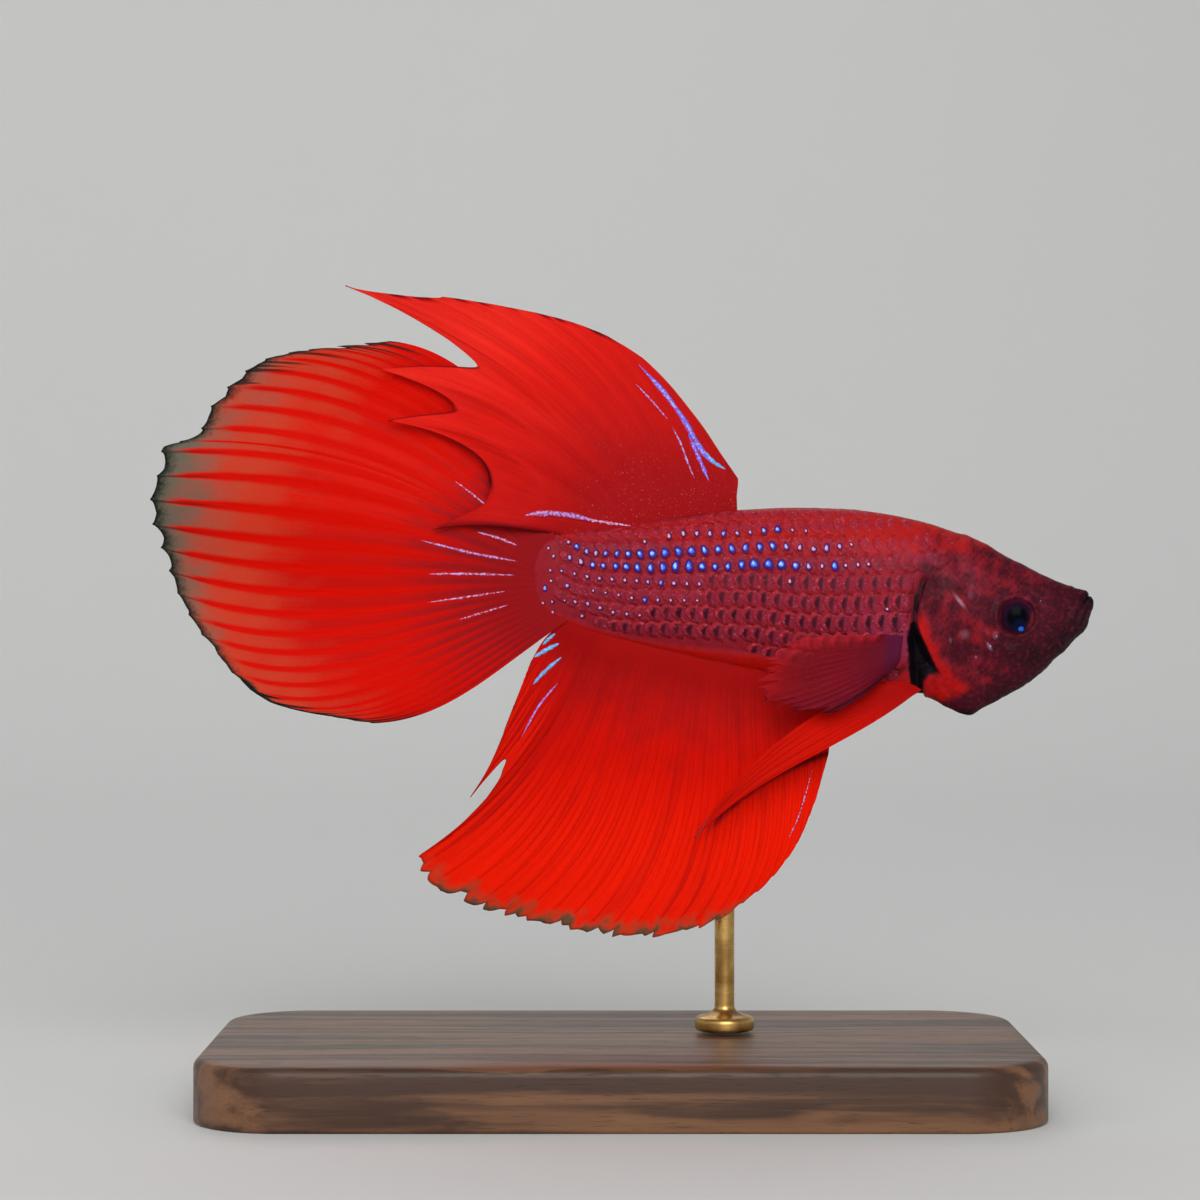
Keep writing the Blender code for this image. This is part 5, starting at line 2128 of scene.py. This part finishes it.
def make_fins(form: BodyForm) -> list[Fin]:
    """Describes the three fins of the midline and the two pairs.

    Args:
        form: the body's plain form, which the pectoral fins start from.

    Returns:
        The fins: dorsal, caudal and anal, then the pairs.
    """
    dorsal = Fin(
        "dorsal_fin", DORSAL_RAYS, dorsal_sway,
        Webbing(19, 14, 84, root_depth=1.2, by_edge=0.25, root_thickness=0.4, fray=0.007, scallop=0.003,
                ridge=0.02, seed=51),
        FinFinish("dorsal_webbing", root=(176, 22, 24), web=(226, 28, 18), ray=(190, 16, 14),
                  line=(150, 12, 12), rim=(130, 14, 20), rim_width=0.3, rim_share=0.3,
                  ray_share=0.3, line_share=0.15, dusk=(150, 18, 22), light=(240, 52, 40),
                  shade=(40, 4, 8), threads_share=0.35, bands_share=0.3, freckle_share=0.4),
        dorsal_tones, DORSAL_NOTCHES, swing=0.6,
    )
    caudal = Fin(
        "caudal_fin", CAUDAL_RAYS, caudal_sway,
        Webbing(27, 14, 96, root_depth=2.4, by_edge=1, root_thickness=1.45, root_reach=5, scallop=0.012,
                fray=0.006, end_fray=0.05, ridge=0.02, spread=0.15, first_split=(0.45, 0.62),
                second_split=(0.7, 0.9), seed=52),
        FinFinish("tail_webbing", root=(130, 25, 34), web=(210, 16, 4), ray=(206, 14, 4),
                  line=(150, 12, 8), rim=(22, 30, 25), rim_width=0.45, rim_share=0.9,
                  dusk=(140, 20, 24), shade=(22, 28, 26), ray_share=0.25, line_share=0.1, soot_and_shadow=0.8,
                  soot_reach=1.3, clear_inner=(200, 60, 38), clear_outer=(102, 98, 84),
                  streak_share=1, burnt_share=0.9, clear_full=0.58, smoky_from=(0.5, 1), clear_alpha=0.93),
        caudal_tones,
    )
    anal = Fin(
        "anal_fin", ANAL_RAYS, anal_sway,
        Webbing(29, 12, 84, by_edge=0.35, root_thickness=0.8, fray=0.035, scallop=0.004, ridge=0.02,
                spread=0.2, ridge_width=0.15, seed=53),
        FinFinish("anal_webbing", root=(164, 18, 18), web=(212, 16, 4), ray=(240, 30, 6),
                  line=(132, 8, 6), rim=(110, 40, 26), rim_width=0.45, rim_share=0.4, ray_from=(0.3, 0.7),
                  light=(244, 26, 3), dusk=(146, 12, 14), shade=(40, 4, 4),
                  clear_inner=(196, 54, 30), clear_outer=(104, 70, 52), clear_full=0.6, ray_share=0.5,
                  line_share=0.22, threads_share=0.35, lines_from=(0, 0.08)),
        anal_tones, ANAL_NOTCHES,
    )
    fins = [dorsal, caudal, anal]
    for side in Side:
        sway = PairedSway(form, side)
        fins.append(Fin(
            "pectoral_fin_" + side.label, PECTORAL_RAYS, sway.pectoral,
            Webbing(14, 12, 56, root_depth=0.6, root_thickness=0.5, web_thickness=0.08, edge_thickness=0.05,
                    ridge=0.022, fray=0.16, scallop=0.05, tuck=0.75, seed=54, ridge_width=0.16),
            FinFinish("pectoral_webbing_" + side.label, root=(104, 24, 44), web=(118, 20, 32),
                      ray=(146, 24, 36), line=(70, 12, 30), rim=(70, 10, 22), rim_share=0.4,
                      light=(78, 26, 60), dusk=(78, 12, 30), shade=(22, 6, 14),
                      clear_inner=(150, 28, 38), clear_outer=(198, 36, 42), ray_share=0.5,
                      ray_from=(0, 0.3), line_share=0.2, clear_full=0.9, clear_alpha=0.3),
            pectoral_tones, nudge=(-0.7, 0, 0), swing=0.97,
        ))
        fins.append(Fin(
            "pelvic_fin_" + side.label, PELVIC_RAYS, sway.pelvic,
            Webbing(5, 16, 96, root_depth=0.8, root_thickness=0.8, web_thickness=0.24, edge_thickness=0.14,
                    ridge=0.05, fray=0.01, fold=0.05, tuck=0.4, seed=55, ridge_width=0.2, spread=0.12),
            FinFinish("pelvic_webbing_" + side.label, root=(180, 14, 8), web=(202, 18, 5),
                      ray=(226, 24, 6), line=(160, 10, 6), rim=(120, 10, 8), rim_share=0.4,
                      light=(170, 60, 56), ray_share=0.3, line_share=0.3, bands_share=0.5),
            pelvic_tones, fitted=False,
        ))
    return fins


@dataclass(frozen=True)
class Streak:
    """A thin bright line on a fin: a flat lens-shaped strip along a course in side view."""

    course: Sequence[Point]
    width: float
    tint: float
    taper: float = 0.5


@dataclass
class Streaks:
    """The glittering lines on both faces of one fin, joined in one piece."""

    fin: Fin
    streaks: Sequence[Streak]
    steps: int = 24
    lift: float = 0.035
    sunk: float = 0.05
    across: Sequence[float] = (-1, -0.6, 0, 0.6, 1, 0)
    shoulder: float = 0.7
    narrowest: float = 0.06
    unevenness: float = 0.18

    def course(self, streak: Streak) -> tuple[Array, Array, Array, Array]:
        """Works out a strip in side view.

        Args:
            streak: the strip.

        Returns:
            The places and heights of its middle, then those of its points.
        """
        line = Line(streak.course, steps=12).places
        at, share = np.linspace(0, 1, self.steps), np.linspace(0, 1, len(line))
        x, z = np.interp(at, share, line[:, 0]), np.interp(at, share, line[:, 1])
        dx, dz = np.gradient(x), np.gradient(z)
        length = np.hypot(dx, dz)
        bow = np.clip(1 - np.abs(2 * at - 1) ** (2 / streak.taper), self.narrowest, 1)
        half = 0.5 * streak.width * bow * (1 + self.unevenness * np.sin(23 * at + 5 * streak.tint))
        px = x[:, None] - (dz / length)[:, None] * half[:, None] * self.across
        return x, z, px, z[:, None] + (dx / length)[:, None] * half[:, None] * self.across

    def build(self, name: str) -> None:
        """Makes the streaks.

        Across a strip the height falls from its middle to its sides, where it meets the
        buried back; along it the width follows a flat-topped bow.

        Args:
            name: the piece's name.
        """
        rise = np.array([0, self.shoulder, 1, self.shoulder, 0, -self.sunk / self.lift])
        around, last = len(self.across), (self.steps - 1) * len(self.across)
        end = np.array([[0, 1, 2, 5], [2, 3, 4, 5]])
        solid = np.vstack([grid_quads(self.steps, around, wraps=True), end[:, ::-1], end + last])
        parts, layers, faces = [], [], []
        for streak in self.streaks:
            x, z, px, pz = self.course(streak)
            share = np.linspace(0, 1, self.steps)[:, None]
            for side in Side:
                out = np.pad(self.fin.side_at(x, z, side), 2, mode="edge")
                out = np.convolve(out, np.full(5, 0.2), mode="valid")
                wound = solid if side is Side.RIGHT else solid[:, ::-1]
                faces.append(wound + len(parts) * self.steps * around)
                parts.append(vectors(px, out[:, None] + side.value * self.lift * rise, pz))
                layers.append(vectors(share, np.abs(self.across), streak.tint))
        finish = StreakFinish(name + "_gleam").material()
        marks = {"Streak": np.stack(layers)}
        place(make_piece(name, np.stack(parts), np.vstack(faces), finish, layers=marks), "fin")


@dataclass(frozen=True)
class StreakFinish:
    """A glittering streak: lilac at tint 0, violet-blue at a half, cyan at 1."""

    name: str
    lilac: Colour = (206, 150, 206)
    violet: Colour = (104, 84, 236)
    cyan: Colour = (64, 170, 232)
    pale: Colour = (196, 196, 236)
    under: Colour = (176, 22, 26)

    def material(self) -> Material:
        """Makes the streaks' material.

        Returns:
            The material.
        """
        finish = Finish(self.name, Coat_Weight=0.2, Coat_Roughness=0.2, Specular_IOR_Level=0.2)
        _, aside, tint = finish.layer("Streak")
        grain = finish.noise(finish.place(), 5.5, 2)
        other = finish.noise(finish.place(), 7, 2)
        finish.colour = finish.mix(tint.step(0, 0.5), self.lilac, self.violet)
        finish.coat(tint.step(0.5, 1), self.cyan)
        finish.coat((other - aside * 0.2).step(0.42, 0.6) * 0.7, self.pale)
        worn = (grain + aside * 0.2 - tint * 0.12).step(0.5, 0.6)
        finish.coat(worn * (1 - tint * 0.5), self.under)
        return finish.finished(grain * 0.25 + 0.3)


# The lilac lines that fan out from the tail fin's root.
CAUDAL_STREAKS = (
    Streak(((-8.3, 44.6), (-9.8, 45.2), (-11.5, 45.7)), 0.26, 0.1),
    Streak(((-8.2, 43.3), (-12, 44), (-16, 45)), 0.26, 0.18),
    Streak(((-8.5, 42.2), (-12, 42.3), (-15.5, 42.3)), 0.24, 0.12),
    Streak(((-9.2, 40.9), (-12, 40.5), (-15.5, 40)), 0.2, 0.05),
    Streak(((-9, 39.8), (-11, 39.2), (-13, 38.6)), 0.18, 0.02),
    Streak(((-10, 47.2), (-11.6, 48.5), (-13.3, 49.8)), 0.2, 0.1),
)
# The violet line inside the dorsal fin's front edge, and the glitter at its base.
DORSAL_STREAKS = (
    Streak(((1.5, 59.2), (3.4, 57.1), (4.95, 55), (5.9, 53.4), (6.75, 52), (7.6, 51.1)), 0.5, 0.62, 0.45),
    Streak(((6.7, 52.3), (7.6, 51.3), (8.5, 50.75)), 0.3, 0.95),
    Streak(((5.5, 53.6), (6.3, 51.8), (7.2, 49.7)), 0.4, 0.42, 0.6),
    Streak(((1.3, 57.6), (2.7, 56.1), (3.9, 54.7)), 0.18, 0.25),
    Streak(((4.2, 54.2), (4.9, 52.8), (5.5, 51.2), (6, 50)), 0.2, 0.2),
    Streak(((-7.6, 47), (-6, 47.2), (-4.5, 47.1), (-2, 46.6)), 0.62, 0.22, 0.6),
    Streak(((-3.4, 46.8), (-1.5, 46.5), (1.2, 46.1)), 0.3, 0, 0.5),
)
# The cyan bars and the lilac line at the anal fin's rear, and one by its front edge.
ANAL_STREAKS = (
    Streak(((-6.2, 36.6), (-5.7, 37.1), (-5.2, 37.5)), 0.28, 1),
    Streak(((-6.9, 35.6), (-5.9, 36.2), (-4.9, 36.7)), 0.38, 1),
    Streak(((-7, 33.4), (-6, 34.5), (-4.7, 35.6)), 0.32, 0.9),
    Streak(((-7.9, 29.2), (-6.5, 31.7), (-5, 33.5)), 0.22, 0.3),
    Streak(((15.5, 26.5), (14.8, 24), (14.3, 22.5), (13.6, 21)), 0.15, 0.08),
)


# ---- Eyes ----


@dataclass
class Eye:
    """A flattened ball that fills the socket: pupil, dark iris and a rust-red front crescent."""

    side: Side
    rings: int = 40
    spokes: int = 72
    set_back: float = 0.36
    fuller: float = 1.05

    def build(self) -> None:
        """Makes the eye: a ball on a grid of rings round its outward axis and spokes."""
        low, high = node_box("eye_" + self.side.label)
        middle = (low + high) / 2 - np.array([self.set_back, 0, 0])
        half = (high - low) / 2 * np.array([self.fuller, 1, self.fuller])
        tilt = np.linspace(0.004, math.pi - 0.004, self.rings)[:, None]
        turn = turns(self.spokes)[None, :]
        out = self.side.value * np.cos(tilt)
        points = middle + half * vectors(np.sin(tilt) * np.cos(turn), out, np.sin(tilt) * np.sin(turn))
        fan = cap(self.spokes)
        fans = np.vstack([fan[:, ::-1], fan + (self.rings - 1) * self.spokes])
        look = vectors(np.sin(tilt) * half[0], np.cos(turn), np.sin(turn))
        node = "eye_" + self.side.label
        quads = grid_quads(self.rings, self.spokes, wraps=True)
        piece = make_piece("fish_" + node, points, quads, EyeFinish(node).material(), fans, {"Look": look})
        place(piece, "eye", node)


@dataclass(frozen=True)
class EyeFinish:
    """A glossy dark eye: black pupil, violet-black iris, rust crescent and a painted blue reflection."""

    name: str
    pupil: Colour = (3, 4, 8)
    iris: Colour = (36, 14, 36)
    lid: Colour = (84, 22, 38)
    rust: Colour = (116, 36, 34)
    # The last two colours are the painted reflection's haze and its bright spot.
    painted_haze: Colour = (10, 18, 48)
    blue: Colour = (36, 104, 226)

    def material(self) -> Material:
        """Makes the eyes' material.

        Returns:
            The material.
        """
        finish = Finish(self.name, Coat_Weight=0.02, Coat_Roughness=0.2, Specular_IOR_Level=0.02)
        radius, ahead, up = finish.layer("Look")
        fibres = finish.noise(finish.joined(ahead * 3, up * 3, radius * 0.6), 3, 2) - 0.5
        across, height = ahead * radius, up * radius
        finish.colour = finish.mix((radius + fibres * 0.3).step(0.6, 1.05), self.pupil, self.iris)
        finish.coat((radius + fibres * 0.15).step(1.14, 1.38) * 0.7, self.lid)
        crescent = (ahead - up * 0.25 + fibres * 0.3).step(0.75, 1.05)
        crescent = crescent * (radius + fibres * 0.1).step(0.98, 1.2)
        finish.coat(crescent * 0.7, self.rust)
        # Painted reflection: a blue haze low on the eye and a bright blue spot in it stand in for light
        # reflected there.
        hazy_across, hazy_up = (across - 0.2) / 0.75, (height + 0.7) / 0.7
        painted_haze = 1 - (hazy_across * hazy_across + hazy_up * hazy_up).step(0.1, 1)
        finish.coat(painted_haze * 0.8, self.painted_haze)
        reflection_across, reflection_up = (across - 0.33) / 0.26, (height + 0.95) / 0.22
        glint = 1 - (reflection_across * reflection_across + reflection_up * reflection_up + fibres).step(0.15, 1.2)
        finish.coat(glint, self.blue)
        return finish.finished(0.16 + radius * 0.06)


# ---- The display stand ----


@dataclass
class StandBase:
    """A walnut slab with rounded corners, a soft upper edge and a felt-deep lower one."""

    corner: float = 7
    upper_edge: float = 0.8
    lower_edge: float = 0.25
    around: int = 240
    edge_steps: int = 6
    closing: Sequence[float] = (1.5, 2.5, 4, 5.5, 6.9)

    def outline(self, inset: Array) -> Array:
        """The slab's outline, drawn in by an inset.

        Args:
            inset: how far each ring lies inside the slab's side, in an array.

        Returns:
            Rings of x and y, from straight sides and quarter-circle corners.
        """
        low, high = node_box("stand_base")
        half_x, half_y = (high - low)[:2] / 2
        turn = TURN * (np.arange(self.around) + 0.5) / self.around
        quarter = self.around // 4
        number = np.arange(self.around) // quarter
        sign_x, sign_y = np.array([1, -1, -1, 1])[number], np.array([1, 1, -1, -1])[number]
        radius = self.corner - inset[:, None]
        x = sign_x * (half_x - self.corner) + radius * np.cos(turn)
        y = sign_y * (half_y - self.corner) + radius * np.sin(turn)
        return vectors(x + (low + high)[0] / 2, y + (low + high)[1] / 2)

    def build(self) -> None:
        """Makes the slab: rings up its side, then rings that draw in to close both faces."""
        low, high = node_box("stand_base")
        turn = np.linspace(0, QUARTER, self.edge_steps)
        under = np.stack([self.lower_edge * (1 - np.sin(turn)), self.lower_edge * (1 - np.cos(turn))])
        over = np.stack([self.upper_edge * (1 - np.cos(turn)), self.upper_edge * (1 - np.sin(turn))])
        inset = np.concatenate([self.closing[::-1], under[0], over[0], self.closing])
        flat = np.zeros(len(self.closing))
        height = np.concatenate([low[2] + flat, low[2] + under[1], high[2] - over[1], high[2] + flat])
        rings = self.outline(inset)
        points = vectors(rings[..., 0], rings[..., 1], height[:, None])
        last = (len(inset) - 1) * self.around
        pairs = np.arange(self.around // 2 - 1)
        strip = vectors(pairs, pairs + 1, self.around - 2 - pairs, self.around - 1 - pairs)
        faces = np.vstack([grid_quads(len(inset), self.around, wraps=True), strip[:, ::-1], strip + last])
        piece = make_piece("stand_base_slab", points, faces, WalnutFinish("oiled_walnut").material())
        place(piece, "walnut", "stand_base")


@dataclass(frozen=True)
class WalnutFinish:
    """Oiled walnut: long grain bands along X, fine dark pores and a low satin gloss."""

    name: str
    light: Colour = (122, 84, 56)
    middle: Colour = (88, 56, 36)
    dark: Colour = (54, 33, 22)

    def material(self) -> Material:
        """Makes the walnut.

        Returns:
            The material.
        """
        finish = Finish(self.name, Coat_Weight=0.12, Coat_Roughness=0.3, Specular_IOR_Level=0.35)
        x, y, z = finish.split(finish.place())
        drift = finish.noise(finish.joined(x * 0.03, y * 0.12, z * 0.12), 1, 3)
        bands = finish.noise(finish.joined(x * 0.012, y * 0.42 + drift * 2.6, z * 0.42), 1, 4, 0.6)
        pores = finish.noise(finish.joined(x * 0.35, y * 5.5, z * 5.5), 1, 3, 0.65)
        finish.colour = finish.mix(bands.step(0.36, 0.64), self.light, self.middle)
        finish.coat((bands + drift * 0.4).step(0.66, 0.8) * 0.75, self.dark)
        finish.coat(pores.step(0.56, 0.7) * 0.65, self.dark)
        finish.relief(1 - pores.step(0.56, 0.7), 0.02)
        return finish.finished(pores * 0.25 + 0.34)


@dataclass
class StandRod:
    """A turned brass rod: a foot with a soft bead, a straight shaft, an end cut to the belly."""

    form: BodyForm
    sides: int = 64
    shaft: float = 0.8
    foot_height: float = 1.2
    lower_edge: float = 0.3
    upper_edge: Point = (0.5, 0.45)
    cove: Point = (1.1, 1)

    def build(self) -> None:
        """Makes the rod as a profile of radius and height turned about an upright axis."""
        low, high = node_box("stand_rod")
        x, y = (low + high)[:2] / 2
        foot, edge = (high - low)[0] / 2, self.lower_edge
        (across, up), (flare, rise) = self.upper_edge, self.cove
        turn = np.linspace(0, QUARTER, 7)
        sine, cosine = np.sin(turn), np.cos(turn)
        under = vectors(foot - edge + edge * sine, low[2] + edge - edge * cosine)
        over = vectors(foot - across * (1 - cosine), low[2] + self.foot_height - up + up * sine)
        heights = low[2] + self.foot_height + rise * turn / QUARTER
        cove = vectors(self.shaft + flare * (1 - sine) ** 2, heights)
        profile = np.vstack([under, over, cove[1:]])
        angle = turns(self.sides)
        radius = profile[:, :1]
        rings = vectors(x + radius * np.cos(angle), y + radius * np.sin(angle), profile[:, 1:])
        at_x, at_y = x + self.shaft * np.cos(angle), y + self.shaft * np.sin(angle)
        top = self._belly(at_x, at_y)
        top = top + (high[2] - top.max())
        start = rings[-1, 0, 2]
        column = vectors(at_x, at_y, start + (top - start) * np.linspace(0.1, 1, 12)[:, None])
        points = np.concatenate([rings, column])
        ends = np.array([[x, y, low[2]], [x, y, top.mean()]])
        piece = make_piece(
            "stand_rod_turned",
            np.vstack([points.reshape(-1, 3), ends]),
            grid_quads(len(points), self.sides, wraps=True),
            BrassFinish("satin_brass").material(),
            end_fans(len(points), self.sides),
        )
        place(piece, "brass", "stand_rod")

    def _belly(self, x: Array, y: Array) -> Array:
        """The height of the body's underside at places beside the midline.

        Args:
            x: places along the fish.
            y: places across it.

        Returns:
            The heights.
        """
        share = np.clip(np.abs(y) / through(self.form.width, x), 0, 1)
        middle = through(self.form.widest, x)
        n = through(self.form.keel, x)
        return middle - (middle - through(self.form.belly, x)) * (1 - share**n) ** (1 / n)


@dataclass(frozen=True)
class BrassFinish:
    """Satin brass: fine turning marks, and darker where handling has dulled it."""

    name: str
    bright: Colour = (204, 164, 96)
    dull: Colour = (150, 112, 60)

    def material(self) -> Material:
        """Makes the brass.

        Returns:
            The material.
        """
        finish = Finish(self.name, Metallic=1)
        x, y, z = finish.split(finish.place())
        marks = finish.noise(finish.joined(x * 0.2, y * 0.2, z * 9), 1, 2)
        smear = finish.noise(finish.place(), 0.5, 3)
        finish.colour = finish.mix((smear + marks * 0.2).step(0.5, 0.8), self.bright, self.dull)
        finish.relief(marks, 0.01)
        return finish.finished(marks * 0.12 + smear * 0.2 + 0.16)


# ---- The studio ----


@dataclass
class Studio:
    """A pale seamless floor that rises all round like a shallow bowl, soft lights, a camera."""

    flat_radius: float = 0.42
    wall_radius: float = 0.95
    wall_height: float = 1.1
    around: int = 96
    paper: Colour = (222, 222, 220)
    sky: Colour = (236, 240, 246)
    lens: float = 100

    def build(self) -> None:
        """Makes the floor, the lights, the camera and the world."""
        self._floor()
        self._lights()
        self._camera()
        scene = bpy.context.scene
        scene.view_settings.view_transform = "Standard"
        world = bpy.data.worlds.new("soft_room")
        world.use_nodes = True
        world.node_tree.nodes["Background"].inputs["Color"].default_value = linear_light(self.sky)
        world.node_tree.nodes["Background"].inputs["Strength"].default_value = 0.3
        scene.world = world

    def _floor(self) -> None:
        """The bowl: flat to its flat radius, then a quarter of an oval up to its rim."""
        share = np.linspace(0, QUARTER, 24)
        flat = np.concatenate([[0.001], np.linspace(0.05, self.flat_radius, 8)])
        wall = self.flat_radius + (self.wall_radius - self.flat_radius) * np.sin(share[1:])
        radius = np.concatenate([flat, wall])
        height = np.concatenate([0 * flat, self.wall_height * (1 - np.cos(share[1:]))])
        angle = turns(self.around)
        points = vectors(radius[:, None] * np.cos(angle), radius[:, None] * np.sin(angle),
                         height[:, None]) / MILLIMETRE
        finish = Finish("pale_paper", Specular_IOR_Level=0.2)
        finish.colour = self.paper
        finish.relief(finish.noise(finish.place(), 0.6, 3), 0.02)
        floor = make_piece("floor", points, grid_quads(len(radius), self.around, wraps=True)[:, ::-1],
                           finish.finished(0.85), cap(self.around))

    def _lights(self) -> None:
        """A key from above the camera's right shoulder, a broad fill and a light from behind."""
        centre = (0, 0, 0.04)
        for name, spot, size, power in (
            ("key", (0.06, -0.62, 0.34), 0.5, 3.6),
            ("fill", (-0.55, -0.45, 0.3), 0.6, 1.1),
            ("back", (-0.1, 0.55, 0.6), 0.5, 1.2),
        ):
            data = bpy.data.lights.new(name, "AREA")
            data.size, data.energy = size, power
            lamp = bpy.data.objects.new(name, data)
            lamp.location = spot
            away = np.array(spot) - np.array(centre)
            level = math.hypot(away[0], away[1])
            lamp.rotation_euler = (math.atan2(level, away[2]), 0, math.atan2(away[0], -away[1]))
            bpy.context.scene.collection.objects.link(lamp)

    def _camera(self) -> None:
        """A long lens, level with the fish and square to its flank."""
        data = bpy.data.cameras.new("view")
        data.lens, data.sensor_width = self.lens, 36
        data.clip_start, data.clip_end = 0.01, 10
        camera = bpy.data.objects.new("view", data)
        camera.location = np.array([VIEW_CENTRE[0], -VIEW_DISTANCE, VIEW_CENTRE[1]]) * MILLIMETRE
        camera.rotation_euler = (QUARTER, 0, 0)
        bpy.context.scene.collection.objects.link(camera)
        bpy.context.scene.camera = camera


def main() -> None:
    """Builds the fish, its stand and the studio, in order."""
    logging.basicConfig(level=logging.INFO, format="%(name)s: %(message)s")
    form, relief = BodyForm(), Relief()
    markings = Markings(relief)
    skin = Skin(form, relief, markings)
    skin.build()
    fitting = skin.fitting()
    scales = Scales(form, relief, markings, ScaleRows(form))
    glints = Glints(form)
    for side in Side:
        scales.build(side, fitting)
        glints.build(side, fitting)
        Eye(side).build()
    fins = make_fins(form)
    for fin in fins:
        fin.build()
    dorsal, caudal, anal = fins[:3]
    Streaks(dorsal, DORSAL_STREAKS).build("streaks_dorsal")
    Streaks(caudal, CAUDAL_STREAKS).build("streaks_caudal")
    Streaks(anal, ANAL_STREAKS).build("streaks_anal")
    StandBase().build()
    StandRod(form).build()
    Studio().build()


if __name__ == "__main__":
    main()
